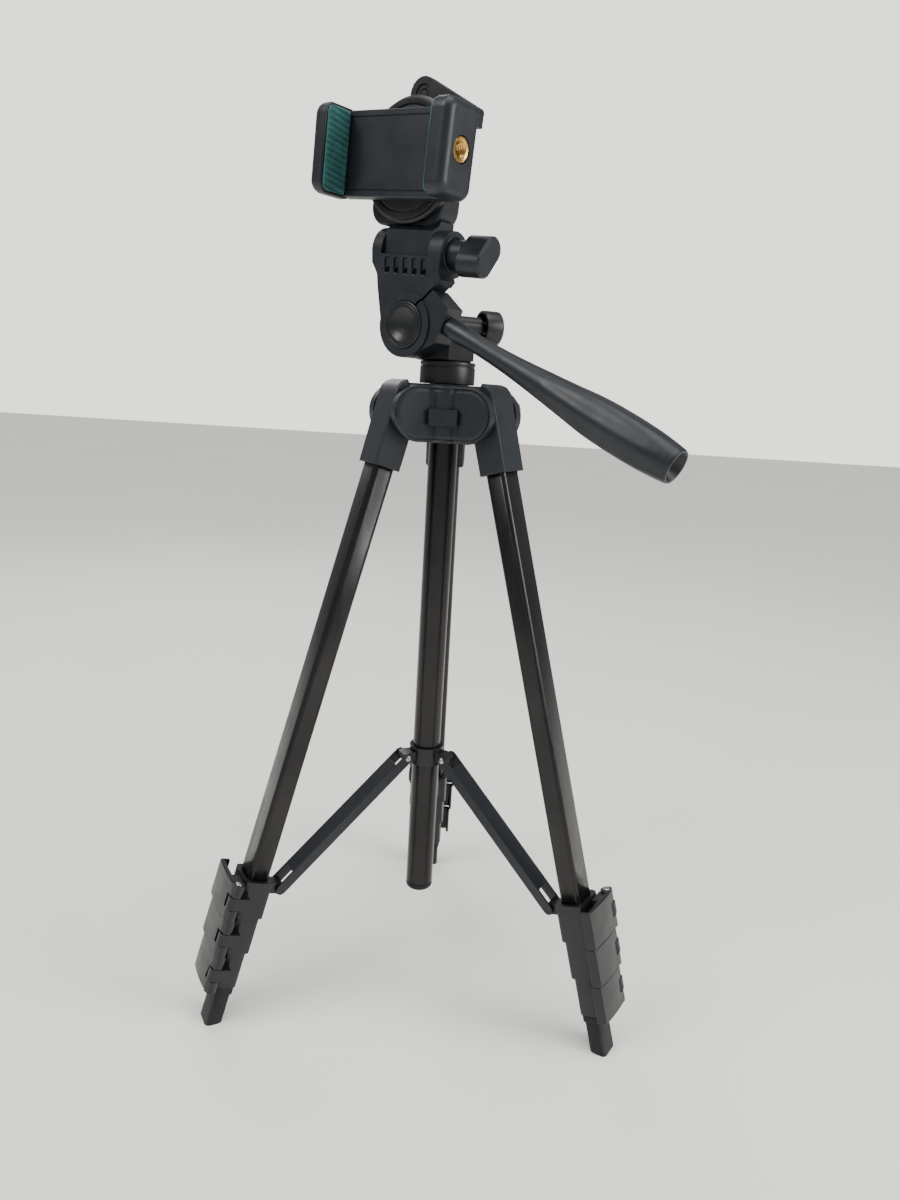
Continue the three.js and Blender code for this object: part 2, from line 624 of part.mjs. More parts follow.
// In the head's frame, z measured from the pan base's top.
function panBlock() {
  const { left, right, front, back, height } = PAN_BLOCK;
  const tongue = [
    prismY(circle(TONGUE_RADIUS, TILT_AXIS_X, TILT_AXIS_RISE), front, back, { curve: 10 }),
    prismY(outline([[left, 1], [right, 1], [right, height], [TILT_AXIS_X + 8, TILT_AXIS_RISE + 9.4],
      [TILT_AXIS_X - 9, TILT_AXIS_RISE + 8], [left - 6, height + 2]]), front, back),
  ];
  const base = prismZ(roundedRectangle(left, right, front, back, 2.5), GAP, height, { rim: 0.5 });
  const lockBoss = drumX(5, 0, PAN_LOCK.seat, 24)
    .rotateZ(PAN_LOCK.azimuth * RAD).translate(0, 0, TILT_AXIS_RISE + PAN_LOCK.rise);
  const lockHole = drumX(PAN_LOCK_SCREW_RADIUS + GAP, 8, PAN_LOCK.seat + 1, 16)
    .rotateZ(PAN_LOCK.azimuth * RAD).translate(0, 0, TILT_AXIS_RISE + PAN_LOCK.rise);
  const axleHole = drumY(AXLE_RADIUS + GAP, front - 1, back + 1, 28)
    .translate(TILT_AXIS_X, 0, TILT_AXIS_RISE);
  const keep = box(-60, 60, front, 60, GAP, 60);
  const body = union(base, ...tongue, lockBoss).intersect(solidOf(keep));
  return cut(body, axleHole, lockHole);
}

// Cup-shaped knob along X, hollow towards the head.
function panLockKnob() {
  const { face, reach, radius, wall } = PAN_LOCK;
  const cup = turned([
    [0, 9], [PAN_LOCK_SCREW_RADIUS, 9], [PAN_LOCK_SCREW_RADIUS, face + 2], [3.4, face + 2],
    [3.4, reach - 2.4], [radius - wall, reach - 2.4], [radius - wall, face], [radius, face],
    [radius, reach - 2], [radius - 1.6, reach], [0, reach],
  ], 28).rotateY(Math.PI / 2);
  return union(cup);
}

// In the tilting frame: origin on the tilt axle, x towards the handle.
function tiltBody() {
  const boss = drumY(BOSS_RADIUS, BOSS_FRONT, BOSS_BACK, 32);
  const arm = outline([
    [-BOSS_RADIUS, -1], [0, -6], [5.4, 8.6], [16.2, 18.9], [19, 22.2],
    [FLIP_BARREL.right, 26], [FLIP_BARREL.right, FLIP_AXIS.z],
    [FLIP_BARREL.left, FLIP_AXIS.z], [FLIP_BARREL.left + 1, 28], [ARM_WAIST.x - 1.4, 22.6],
    [ARM_WAIST.x, ARM_WAIST.z],
  ]);
  const clamp = outline([[-4, -6], [8, -13], [HANDLE_ROOT.x - 3, -6.6],
    [HANDLE_ROOT.x + 2.6, 9.8], [15.2, 17.4], [4, 7.2]]);
  const barrel = drumX(FLIP_BARREL.radius, FLIP_BARREL.left, FLIP_BARREL.right, 36)
    .translate(0, FLIP_AXIS.y, FLIP_AXIS.z);
  const body = union(boss, prismY(arm, ARM_FRONT, BOSS_BACK), prismY(clamp, ARM_FRONT, BOSS_BACK),
    barrel);
  const { earLeft, earRight } = FLIP_BARREL;
  const reach = 2 * FLIP_BARREL.radius;
  const overCradle = box(earLeft, earRight, FLIP_AXIS.y - reach, FLIP_AXIS.y + reach, CRADLE_TOP,
    FLIP_AXIS.z + reach);
  const behindArm = box(earLeft, earRight, BOSS_BACK, FLIP_AXIS.y + reach, FLIP_AXIS.z - reach,
    FLIP_AXIS.z + reach);
  const knuckleWay = drumX(KNUCKLE.radius + GAP, earLeft, earRight, 32)
    .translate(0, FLIP_AXIS.y, FLIP_AXIS.z);
  const slit = box(0, SLIT.length, BOSS_FRONT - 1, BOSS_BACK + 1, -SLIT.width / 2, SLIT.width / 2)
    .rotateY(-SLIT.angle * RAD).translate(SLIT.x, 0, SLIT.z);
  const capSeat = drumY(AXLE_CAP_RADIUS + GAP, BOSS_FRONT - 1, BOSS_FRONT + AXLE_CAP_SEAT, 36);
  const axleHole = drumY(AXLE_RADIUS + GAP, BOSS_FRONT - 1, BOSS_BACK + 1, 28);
  const shaftHole = drumX(FLIP_SHAFT_RADIUS + GAP, earLeft - FLIP_SHAFT_SEAT - GAP,
    FLIP_BARREL.right + 1, 28)
    .translate(0, FLIP_AXIS.y, FLIP_AXIS.z);
  const tail = drumX(HANDLE_TAIL.radius + GAP, -HANDLE_TAIL.length - 1, 8, 20)
    .rotateY(HANDLE_DROP * RAD).translate(HANDLE_ROOT.x, HANDLE_Y, HANDLE_ROOT.z);
  const mouth = box(0, 20, -15, 15, -15, 15)
    .rotateY(HANDLE_DROP * RAD).translate(HANDLE_ROOT.x, HANDLE_Y, HANDLE_ROOT.z);
  const grille = Array.from({ length: GRILLE.count }, (_, index) => {
    const x = GRILLE.centre + (index - (GRILLE.count - 1) / 2) * GRILLE.pitch;
    return box(x - GRILLE.width / 2, x + GRILLE.width / 2, ARM_FRONT - 2, ARM_FRONT + GRILLE.depth,
      GRILLE.z - GRILLE.height / 2, GRILLE.z + GRILLE.height / 2);
  });
  return cut(body, overCradle, behindArm, knuckleWay, slit, capSeat, axleHole, shaftHole, tail, mouth,
    ...grille);
}

// Axle with its dished cap, along Y.
function tiltAxle() {
  const front = BOSS_FRONT - AXLE_CAP_PROUD;
  const seat = BOSS_FRONT + AXLE_CAP_SEAT - GAP;
  const back = PAN_BLOCK.back - 1;
  const profile = [
    [0, front + 2.2], [4, front + 2], [7.2, front + 0.9], [8.6, front + 0.1], [9.6, front],
    [AXLE_CAP_RADIUS - 0.4, front], [AXLE_CAP_RADIUS, front + 0.4], [AXLE_CAP_RADIUS, seat],
    [AXLE_RADIUS, seat], [AXLE_RADIUS, back], [0, back],
  ];
  return union(turned(profile, 32).rotateX(-Math.PI / 2));
}

function handle() {
  const profile = [[0, -HANDLE_TAIL.length], [HANDLE_TAIL.radius, -HANDLE_TAIL.length],
    [HANDLE_TAIL.radius, GAP]];
  for (const [share, radius] of HANDLE_PROFILE) {
    profile.push([radius, GAP + share * (HANDLE_LENGTH - GAP)]);
  }
  const floor = HANDLE_LENGTH - HANDLE_HOLE.depth;
  profile.push([HANDLE_HOLE.radius, HANDLE_LENGTH], [HANDLE_HOLE.radius, floor], [0, floor]);
  return union(turned(profile, 20).rotateY(Math.PI / 2));
}

// Plate whose neck ends in the knuckle between the tilting body's two ears.
function platform() {
  const { left, right, bottom, top, front, back, corner } = PLATFORM;
  const { earLeft, earRight } = FLIP_BARREL;
  const { neckFront, neckBack, neckRise } = KNUCKLE;
  const plate = prismY(roundedRectangle(left, right, bottom, top, corner), front, back,
    { rim: 0.8, curve: 3 });
  const neck = prismX(outline([
    [neckFront, CRADLE_TOP + GAP], [neckBack, FLIP_AXIS.z - 1], [neckBack, bottom + 3],
    [front + 1, bottom + 3], [front, bottom + 0.8], [neckFront, FLIP_AXIS.z + neckRise],
  ]), earLeft + GAP, earRight - GAP);
  const knuckle = drumX(KNUCKLE.radius, earLeft + GAP, earRight - GAP, 32)
    .translate(0, FLIP_AXIS.y, FLIP_AXIS.z);
  const shaft = drumX(FLIP_SHAFT_RADIUS, earLeft - FLIP_SHAFT_SEAT, FLIP_BARREL.right - GAP, 24)
    .translate(0, FLIP_AXIS.y, FLIP_AXIS.z);
  const tabBack = front + RELEASE_LEVER_THICKNESS + GAP;
  const tab = taperedBar({ ...RELEASE_PIVOT, radius: RELEASE_PIVOT.radius - 0.4 },
    { x: RELEASE_PIVOT.x, z: top - 12, radius: RELEASE_PIVOT.radius + 4 });
  const pivotPin = drumY(RELEASE_PIVOT.pin, front + 1, tabBack + 1, 16)
    .translate(RELEASE_PIVOT.x, 0, RELEASE_PIVOT.z);
  return union(plate, neck, knuckle, shaft, prismY(tab, tabBack, back - 0.8), pivotPin);
}

function releaseLever() {
  const bar = taperedBar(RELEASE_PIVOT, RELEASE_TIP);
  const front = PLATFORM.front + 0.1;
  const back = PLATFORM.front + RELEASE_LEVER_THICKNESS;
  const hook = box(RELEASE_TIP.x - 1.2, RELEASE_TIP.x + 2.4, front, back,
    RELEASE_TIP.z - RELEASE_TIP.hook, RELEASE_TIP.z);
  const hole = drumY(RELEASE_PIVOT.pin + GAP, front - 1, back + 1, 16)
    .translate(RELEASE_PIVOT.x, 0, RELEASE_PIVOT.z);
  const recess = drumY(RELEASE_PIVOT.recess, front - 1, front + 0.8, 24)
    .translate(RELEASE_PIVOT.x, 0, RELEASE_PIVOT.z);
  const underside = box(PLATFORM.left, PLATFORM.right + GAP, front - 1, back + 1, 0, PLATFORM.top + GAP);
  return cut(union(prismY(bar, front, back, { curve: 5 }), hook), hole, recess, underside);
}

function releasePlate() {
  const back = PLATFORM.front - GAP;
  const plate = drumY(DISC.radius, DISC_FRONT, back, 40).translate(DISC.x, 0, DISC.z);
  const pocket = drumY(CAMERA_SCREW.headRadius + GAP, back - CAMERA_SCREW.headHeight - GAP, back + 1, 28)
    .translate(CLIP.x, 0, CLIP.z);
  const hole = drumY(CAMERA_SCREW.radius + GAP, DISC_FRONT - 1, back + 1, 24)
    .translate(CLIP.x, 0, CLIP.z);
  return cut(union(plate), pocket, hole);
}

function cameraScrew() {
  const head = PLATFORM.front - 2 * GAP;
  const seat = head - CAMERA_SCREW.headHeight + GAP;
  return union(
    drumY(CAMERA_SCREW.headRadius, seat, head, 28),
    drumY(CAMERA_SCREW.radius, CLIP_REAR - CAMERA_SCREW.bite, seat + 1, 24),
  ).translate([CLIP.x, 0, CLIP.z]);
}

function flipKnob() {
  const start = FLIP_BARREL.right + GAP;
  const neckEnd = start + FLIP_KNOB.neck;
  const halfLength = (FLIP_KNOB.length - FLIP_KNOB.width) / 2;
  const radius = FLIP_KNOB.width / 2;
  const paddle = taperedBar({ x: 0, z: -halfLength, radius },
    { x: 0, z: halfLength, radius: radius - 0.01 });
  return union(
    drumX(FLIP_KNOB.neckRadius, start, neckEnd + 1, 28),
    prismX(paddle, neckEnd, FLIP_KNOB.reach, { rim: 1, curve: 5 }).rotateX(-FLIP_KNOB.turn * RAD),
  ).translate([0, FLIP_AXIS.y, FLIP_AXIS.z]);
}

// ----------------------------------------------------------------- clip

function jawOutline() {
  return roundedRectangle(CLIP_FRONT, CLIP_REAR, CLIP.z - CLIP.height / 2,
    CLIP.z + CLIP.height / 2, CLIP.corner);
}

function rails(x0, x1, clearance) {
  return [-1, 1].map((side) => {
    const z = CLIP.z + side * RAIL.spread;
    const halfZ = RAIL.height / 2 + clearance;
    const halfY = RAIL.thickness / 2 + clearance;
    return box(x0, x1, RAIL_CENTRE - halfY, RAIL_CENTRE + halfY, z - halfZ, z + halfZ);
  });
}

function clipBody() {
  const halfHeight = CLIP.height / 2 - CLIP_BACK_INSET;
  const right = OPENING_RIGHT - GAP;
  const jaw = prismX(jawOutline(), CLIP_LEFT, OPENING_LEFT, { rim: 1.6 });
  const back = box(OPENING_LEFT - 2, right, PLATE_FRONT, CLIP_REAR, CLIP.z - halfHeight,
    CLIP.z + halfHeight);
  const screwHole = drumY(CAMERA_SCREW.radius + GAP, CLIP_REAR - CAMERA_SCREW.bite - GAP, CLIP_REAR + 1, 24)
    .translate(CLIP.x, 0, CLIP.z);
  const slots = rails(OPENING_RIGHT - RAIL.length - 3, right + 1, GAP);
  return cut(union(jaw, back), screwHole, ...slots);
}

function slidingJaw() {
  const right = OPENING_RIGHT + SLIDING_JAW;
  const jaw = prismX(jawOutline(), OPENING_RIGHT, right, { rim: 2.4 });
  const pocket = drumX(INSERT.radius + GAP, right - INSERT.length - INSERT.recess - GAP, right + 1, 28)
    .translate(0, (CLIP_FRONT + CLIP_REAR) / 2, CLIP.z);
  return cut(union(jaw, ...rails(OPENING_RIGHT - RAIL.length, OPENING_RIGHT + 2, 0)), pocket);
}

// Ribbed rubber pad; direction is the side its ribs face.
function pad(face, direction) {
  const height = CLIP.height - 2 * PAD.margin;
  const bottom = CLIP.z - height / 2;
  const base = face + direction * GAP;
  const crest = base + direction * PAD.thickness;
  const groove = crest - direction * PAD.rib;
  const points = [[base, bottom], [base, bottom + height]];
  const pitch = height / PAD.ribs;
  for (let index = PAD.ribs - 1; index >= 0; index -= 1) {
    const low = bottom + index * pitch;
    points.push([crest, low + pitch * 0.95], [crest, low + pitch * 0.45], [groove, low + pitch * 0.35],
      [groove, low + pitch * 0.05]);
  }
  return union(prismY(outline(direction > 0 ? points : points.reverse()),
    CLIP_FRONT + PAD.margin, PLATE_FRONT - GAP));
}

function threadInsert() {
  const right = OPENING_RIGHT + SLIDING_JAW - INSERT.recess;
  const left = right - INSERT.length;
  const ring = turned([
    [INSERT.bore, left], [INSERT.radius, left], [INSERT.radius, right], [INSERT.bore + 0.9, right],
    [INSERT.bore, right - 0.9], [INSERT.bore, left],
  ], 28).rotateY(Math.PI / 2);
  return union(ring.translate(0, (CLIP_FRONT + CLIP_REAR) / 2, CLIP.z));
}

function buildHead(parent) {
  const head = new THREE.Group();
  head.rotation.z = HEAD_TURN * RAD;
  parent.add(head);

  const pan = new THREE.Group();
  pan.position.z = PAN_BASE_TOP;
  head.add(pan);
  piece(pan, 'pan_block', panBlock(), satinBlack);
  const lock = new THREE.Group();
  lock.position.z = TILT_AXIS_RISE + PAN_LOCK.rise;
  lock.rotation.z = PAN_LOCK.azimuth * RAD;
  pan.add(lock);
  piece(lock, 'pan_lock_knob', panLockKnob(), satinBlack);

  const tilt = new THREE.Group();
  tilt.position.set(TILT_AXIS_X, 0, TILT_AXIS_Z);
  tilt.rotation.y = HEAD_TILT * RAD;
  head.add(tilt);
  piece(tilt, 'tilt_body', tiltBody(), charcoal);
  piece(tilt, 'tilt_axle_cap', tiltAxle(), charcoal);
  const grip = new THREE.Group();
  grip.position.set(HANDLE_ROOT.x, HANDLE_Y, HANDLE_ROOT.z);
  grip.rotation.y = HANDLE_DROP * RAD;
  tilt.add(grip);
  piece(grip, 'pan_handle', handle(), charcoal);

  piece(tilt, 'flip_platform', platform(), charcoal);
  piece(tilt, 'flip_lock_knob', flipKnob(), charcoal);
  piece(tilt, 'quick_release_plate', releasePlate(), satinBlack);
  piece(tilt, 'quick_release_lever', releaseLever(), satinBlack);
  piece(tilt, 'camera_screw', cameraScrew(), steel);
  piece(tilt, 'clip_body', clipBody(), charcoal);
  piece(tilt, 'clip_sliding_jaw', slidingJaw(), charcoal);
  piece(tilt, 'fixed_jaw_pad', pad(OPENING_LEFT, 1), teal);
  piece(tilt, 'sliding_jaw_pad', pad(OPENING_RIGHT, -1), teal);
  piece(tilt, 'thread_insert', threadInsert(), brass);
}

// ------------------------------------------------------------- assembly

const tripod = new THREE.Group();
piece(tripod, 'hub_body', hubBody(), charcoal);
const lockScrew = new THREE.Group();
lockScrew.position.z = PIVOT_HEIGHT + LOCK_SCREW_RISE;
lockScrew.rotation.z = LOCK_SCREW_AZIMUTH * RAD;
tripod.add(lockScrew);
piece(lockScrew, 'column_lock_knob', columnLockKnob(), rubber);
piece(tripod, 'column_tube', columnTube(), anodised);
piece(tripod, 'column_end_cap', columnEndCap(), rubber);
piece(tripod, 'pan_base', panBase(), satinBlack);
for (const [side, azimuth] of Object.entries(LEG_AZIMUTHS)) {
  buildLeg(tripod, side, azimuth);
}
buildSpreader(tripod);
buildHead(tripod);

// The part's origin is the middle of its footprint, on the floor.
tripod.updateMatrixWorld(true);
const extent = new THREE.Box3().setFromObject(tripod, true);
const middle = extent.getCenter(new THREE.Vector3());
const model = new THREE.Group();
model.position.set(-middle.x, -middle.y, -extent.min.z);
model.add(tripod);
model.updateMatrixWorld(true);

export default model;
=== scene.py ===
import json
import math

import bmesh
import bpy
import numpy as np
from mathutils import Matrix, Vector


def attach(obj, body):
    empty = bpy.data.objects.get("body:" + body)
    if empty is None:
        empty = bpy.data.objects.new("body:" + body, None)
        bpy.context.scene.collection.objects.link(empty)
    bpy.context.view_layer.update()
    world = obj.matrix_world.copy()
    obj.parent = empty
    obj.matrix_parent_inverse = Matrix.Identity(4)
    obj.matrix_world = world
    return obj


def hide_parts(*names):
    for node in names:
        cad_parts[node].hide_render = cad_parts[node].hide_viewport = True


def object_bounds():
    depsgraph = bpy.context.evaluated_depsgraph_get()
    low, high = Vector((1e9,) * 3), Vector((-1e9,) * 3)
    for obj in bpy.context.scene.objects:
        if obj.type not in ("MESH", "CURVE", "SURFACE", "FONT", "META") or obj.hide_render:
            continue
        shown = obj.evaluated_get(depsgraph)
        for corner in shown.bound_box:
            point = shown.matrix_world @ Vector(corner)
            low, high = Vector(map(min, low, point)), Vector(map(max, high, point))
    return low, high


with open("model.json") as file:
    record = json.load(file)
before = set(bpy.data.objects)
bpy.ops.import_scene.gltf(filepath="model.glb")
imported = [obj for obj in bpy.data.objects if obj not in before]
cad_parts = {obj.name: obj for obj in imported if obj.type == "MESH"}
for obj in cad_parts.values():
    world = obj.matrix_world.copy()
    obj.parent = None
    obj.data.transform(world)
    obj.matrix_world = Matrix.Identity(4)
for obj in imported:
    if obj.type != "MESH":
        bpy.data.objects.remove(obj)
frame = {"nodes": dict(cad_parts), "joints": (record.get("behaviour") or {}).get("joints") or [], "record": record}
cad_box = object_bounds()

MM = 0.001
GAP = 0.3 * MM  # clearance between pieces made here
WELD = 0.002 * MM  # CAD corners closer than this are one point
FLAT = math.radians(0.6)  # CAD facets that turn less than this are one face
SIDES = ("left", "right", "back")
JOINTS = {joint["name"]: joint for joint in frame["joints"]}
BODY_OF = {node: body for body, nodes in frame["record"]["behaviour"]["bodies"].items() for node in nodes}
SLOT_OF = {part["node"]: part["material_slot"] for part in frame["record"]["subparts"]}


# ------------------------------------------------------------------ frames

def joint_axis(name):
    return Vector(JOINTS[name]["axis"]).normalized()


def joint_place(name):
    return Vector(JOINTS[name]["pos_m"])


def basis(x, y, z, origin):
    """The matrix that takes local coordinates to the shared frame."""
    matrix = Matrix((x, y, z)).transposed().to_4x4()
    matrix.translation = origin
    return matrix


def along(axis, origin):
    """A frame whose z axis runs along the given axis."""
    rotation = axis.to_track_quat("Z", "Y").to_matrix().to_4x4()
    rotation.translation = origin
    return rotation


def head_frame():
    x = joint_axis("platform_flip")
    y = joint_axis("head_tilt")
    return basis(x, y, x.cross(y), joint_place("head_tilt"))


def leg_frame(side):
    """x out from the column, z up the leg, origin at the fold pivot."""
    up = -joint_axis(f"section2_extend_{side}")
    across = joint_axis(f"leg_fold_{side}")
    return basis(across.cross(up), across, up, joint_place(f"leg_fold_{side}"))


HEAD = head_frame()
COLUMN = Matrix.Translation(joint_place("head_pan"))


def local_points(node, matrix):
    """A CAD node's corner points in the given frame."""
    points = np.array([v.co for v in frame["nodes"][node].data.vertices])
    inverse = np.array(matrix.inverted())
    return points @ inverse[:3, :3].T + inverse[:3, 3]


def local_box(node, matrix):
    points = local_points(node, matrix)
    return Vector(points.min(0)), Vector(points.max(0))


# --------------------------------------------------------------- materials

def shader(name, colour, roughness, metallic=0.0, specular=0.5):
    material = bpy.data.materials.new(name)
    material.use_nodes = True
    tree = material.node_tree
    surface = tree.nodes["Principled BSDF"]
    surface.inputs["Base Color"].default_value = (*colour, 1)
    surface.inputs["Roughness"].default_value = roughness
    surface.inputs["Metallic"].default_value = metallic
    surface.inputs["Specular IOR Level"].default_value = specular
    return material, tree, surface


def noise(tree, scale, detail=4.0, stretch=(1, 1, 1)):
    place = tree.nodes.new("ShaderNodeTexCoord")
    mapping = tree.nodes.new("ShaderNodeMapping")
    mapping.inputs["Scale"].default_value = stretch
    texture = tree.nodes.new("ShaderNodeTexNoise")
    texture.inputs["Scale"].default_value = scale
    texture.inputs["Detail"].default_value = detail
    tree.links.new(place.outputs["Object"], mapping.inputs["Vector"])
    tree.links.new(mapping.outputs["Vector"], texture.inputs["Vector"])
    return texture.outputs["Fac"]


def spread(tree, value, low, high):
    """Maps the middle of a noise value to the range low to high."""
    node = tree.nodes.new("ShaderNodeMapRange")
    node.inputs["From Min"].default_value = 0.3
    node.inputs["From Max"].default_value = 0.7
    node.inputs["To Min"].default_value = low
    node.inputs["To Max"].default_value = high
    tree.links.new(value, node.inputs["Value"])
    return node.outputs["Result"]


def tint(tree, surface, value, dark, light):
    ramp = tree.nodes.new("ShaderNodeValToRGB")
    ramp.color_ramp.elements[0].position = 0.3
    ramp.color_ramp.elements[1].position = 0.7
    ramp.color_ramp.elements[0].color = (*dark, 1)
    ramp.color_ramp.elements[1].color = (*light, 1)
    tree.links.new(value, ramp.inputs["Fac"])
    tree.links.new(ramp.outputs["Color"], surface.inputs["Base Color"])


def bump(tree, surface, value, strength, distance, below=None):
    node = tree.nodes.new("ShaderNodeBump")
    node.inputs["Strength"].default_value = strength
    node.inputs["Distance"].default_value = distance
    tree.links.new(value, node.inputs["Height"])
    if below is not None:
        tree.links.new(below.outputs["Normal"], node.inputs["Normal"])
    tree.links.new(node.outputs["Normal"], surface.inputs["Normal"])
    return node


def plastic(name, dark, light, roughness, grain=2600.0, depth=0.04 * MM, strength=0.35):
    """Moulded plastic: a fine grain over slow waves, with uneven gloss."""
    material, tree, surface = shader(name, dark, roughness, specular=0.42)
    tint(tree, surface, noise(tree, 38.0), dark, light)
    gloss = spread(tree, noise(tree, 90.0, 6.0), roughness - 0.06, roughness + 0.08)
    tree.links.new(gloss, surface.inputs["Roughness"])
    flow = bump(tree, surface, noise(tree, 120.0, 2.0), 0.12, 0.3 * MM)
    bump(tree, surface, noise(tree, grain, 2.0), strength, depth, flow)
    return material


def anodised(name, dark, light):
    """Black anodised aluminium: fine upright lines and uneven gloss."""
    material, tree, surface = shader(name, dark, 0.3, 0.85)
    tint(tree, surface, noise(tree, 30.0), dark, light)
    gloss = spread(tree, noise(tree, 60.0, 5.0, (6, 6, 0.4)), 0.24, 0.36)
    tree.links.new(gloss, surface.inputs["Roughness"])
    bump(tree, surface, noise(tree, 900.0, 3.0, (1, 1, 0.02)), 0.12, 0.02 * MM)
    return material


def rubbery(name, dark, light, roughness=0.78):
    material, tree, surface = shader(name, dark, roughness, specular=0.35)
    tint(tree, surface, noise(tree, 160.0, 6.0), dark, light)
    gloss = spread(tree, noise(tree, 420.0), roughness - 0.08, roughness + 0.1)
    tree.links.new(gloss, surface.inputs["Roughness"])
    bump(tree, surface, noise(tree, 1500.0, 3.0), 0.5, 0.06 * MM)
    surface.inputs["Sheen Weight"].default_value = 0.12
    return material


def metal(name, dark, light, roughness):
    """Bare metal with a fine grain and a little tarnish."""
    material, tree, surface = shader(name, light, roughness, 1.0)
    tint(tree, surface, noise(tree, 240.0, 3.0), dark, light)
    gloss = spread(tree, noise(tree, 500.0), roughness - 0.05, roughness + 0.06)
    tree.links.new(gloss, surface.inputs["Roughness"])
    bump(tree, surface, noise(tree, 1400.0, 2.0), 0.05, 0.01 * MM)
    return material


MATERIALS = {
    "charcoal_plastic": plastic("charcoal_plastic", (0.0060, 0.0080, 0.0116),
                                (0.0084, 0.0110, 0.0154), 0.42),
    "black_plastic": plastic("black_plastic", (0.0040, 0.0048, 0.0060), (0.0062, 0.0073, 0.0089), 0.36),
    "anodised_tube": anodised("anodised_tube", (0.024, 0.0235, 0.0240), (0.034, 0.0328, 0.0330)),
    "black_rubber": rubbery("black_rubber", (0.0050, 0.0053, 0.0060), (0.0080, 0.0084, 0.0090)),
    "teal_rubber": rubbery("teal_rubber", (0.012, 0.078, 0.074), (0.019, 0.112, 0.106)),
    "brass": metal("brass", (0.50, 0.30, 0.085), (0.64, 0.40, 0.13), 0.26),
    "steel": metal("steel", (0.30, 0.30, 0.31), (0.52, 0.52, 0.53), 0.30),
}


# ------------------------------------------------------------- mesh helpers

def new_object(name, mesh):
    item = bpy.data.objects.new(name, mesh)
    bpy.context.scene.collection.objects.link(item)
    return item


def from_bmesh(name, shape):
    mesh = bpy.data.meshes.new(name)
    shape.to_mesh(mesh)
    shape.free()
    return new_object(name, mesh)


def apply_modifiers(item):
    bpy.context.view_layer.update()
    evaluated = item.evaluated_get(bpy.context.evaluated_depsgraph_get())
    mesh = bpy.data.meshes.new_from_object(evaluated)
    item.modifiers.clear()
    item.data = mesh


def smooth(item, angle=40):
    for polygon in item.data.polygons:
        polygon.use_smooth = True
    item.data.set_sharp_from_angle(angle=math.radians(angle))


def bevel(item, width, segments=3):
    modifier = item.modifiers.new("bevel", "BEVEL")
    modifier.width = width
    modifier.segments = segments
    modifier.limit_method = "ANGLE"
    modifier.angle_limit = math.radians(32)
    modifier.miter_outer = "MITER_ARC"
    modifier.use_clamp_overlap = True
    apply_modifiers(item)


def weigh_normals(item):
    modifier = item.modifiers.new("normals", "WEIGHTED_NORMAL")
    modifier.keep_sharp = True
    modifier.weight = 80
    apply_modifiers(item)


def combine(item, tool, operation):
    modifier = item.modifiers.new("combine", "BOOLEAN")
    modifier.operation = operation
    modifier.solver = "EXACT"
    modifier.object = tool
    apply_modifiers(item)
    bpy.data.objects.remove(tool)


def finish_piece(item, body, slot, *nodes):
    item.data.materials.clear()
    item.data.materials.append(MATERIALS[slot])
    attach(item, body)
    if nodes:
        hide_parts(*nodes)
    return item


def placed(item, matrix):
    item.data.transform(matrix)
    return item


def turns(count):
    """Equally spaced angles once round."""
    return [2 * math.pi * k / count for k in range(count)]


def circle(radius, height, sides):
    return [(radius * math.cos(a), radius * math.sin(a), height) for a in turns(sides)]


def cube_between(low, high):
    """A cube stretched to fill the box from low to high."""
    shape = bmesh.new()
    bmesh.ops.create_cube(shape, size=1)
    for vertex in shape.verts:
        vertex.co = Vector(low[i] + (vertex.co[i] + 0.5) * (high[i] - low[i]) for i in range(3))
    return shape


def block(name, low, high, radius=0.0, segments=3):
    """A box, with its edges rounded where a radius is given."""
    item = from_bmesh(name, cube_between(Vector(low), Vector(high)))
    if radius:
        bevel(item, radius, segments)
    return item


def prism(name, outline, low, high):
    """An outline of (y, z) points run from low to high along x."""
    shape = bmesh.new()
    ends = [[shape.verts.new((x, y, z)) for y, z in outline] for x in (low, high)]
    shape.faces.new(reversed(ends[0]))
    shape.faces.new(ends[1])
    count = len(outline)
    for i in range(count):
        j = (i + 1) % count
        shape.faces.new((ends[0][i], ends[0][j], ends[1][j], ends[1][i]))
    bmesh.ops.recalc_face_normals(shape, faces=shape.faces)
    return from_bmesh(name, shape)


def rounded_outline(half_u, half_v, radius, steps=8, centre=(0, 0)):
    points = []
    for quarter, (su, sv) in enumerate(((1, 1), (-1, 1), (-1, -1), (1, -1))):
        for step in range(steps + 1):
            angle = math.pi / 2 * (quarter + step / steps)
            points.append((centre[0] + su * (half_u - radius) + radius * math.cos(angle),
                           centre[1] + sv * (half_v - radius) + radius * math.sin(angle)))
    return points


def grid_solid(name, rings, closed_ends=True):
    """Joins equal rings of points into a tube, capped at both ends or closed on itself."""
    shape = bmesh.new()
    loops = [[shape.verts.new(point) for point in ring] for ring in rings]
    count = len(loops[0])
    last = len(loops) - 1 if closed_ends else len(loops)
    for i in range(last):
        low, high = loops[i], loops[(i + 1) % len(loops)]
        for j in range(count):
            k = (j + 1) % count
            shape.faces.new((low[j], low[k], high[k], high[j]))
    if closed_ends:
        shape.faces.new(reversed(loops[0]))
        shape.faces.new(loops[-1])
    bmesh.ops.recalc_face_normals(shape, faces=shape.faces)
    return from_bmesh(name, shape)


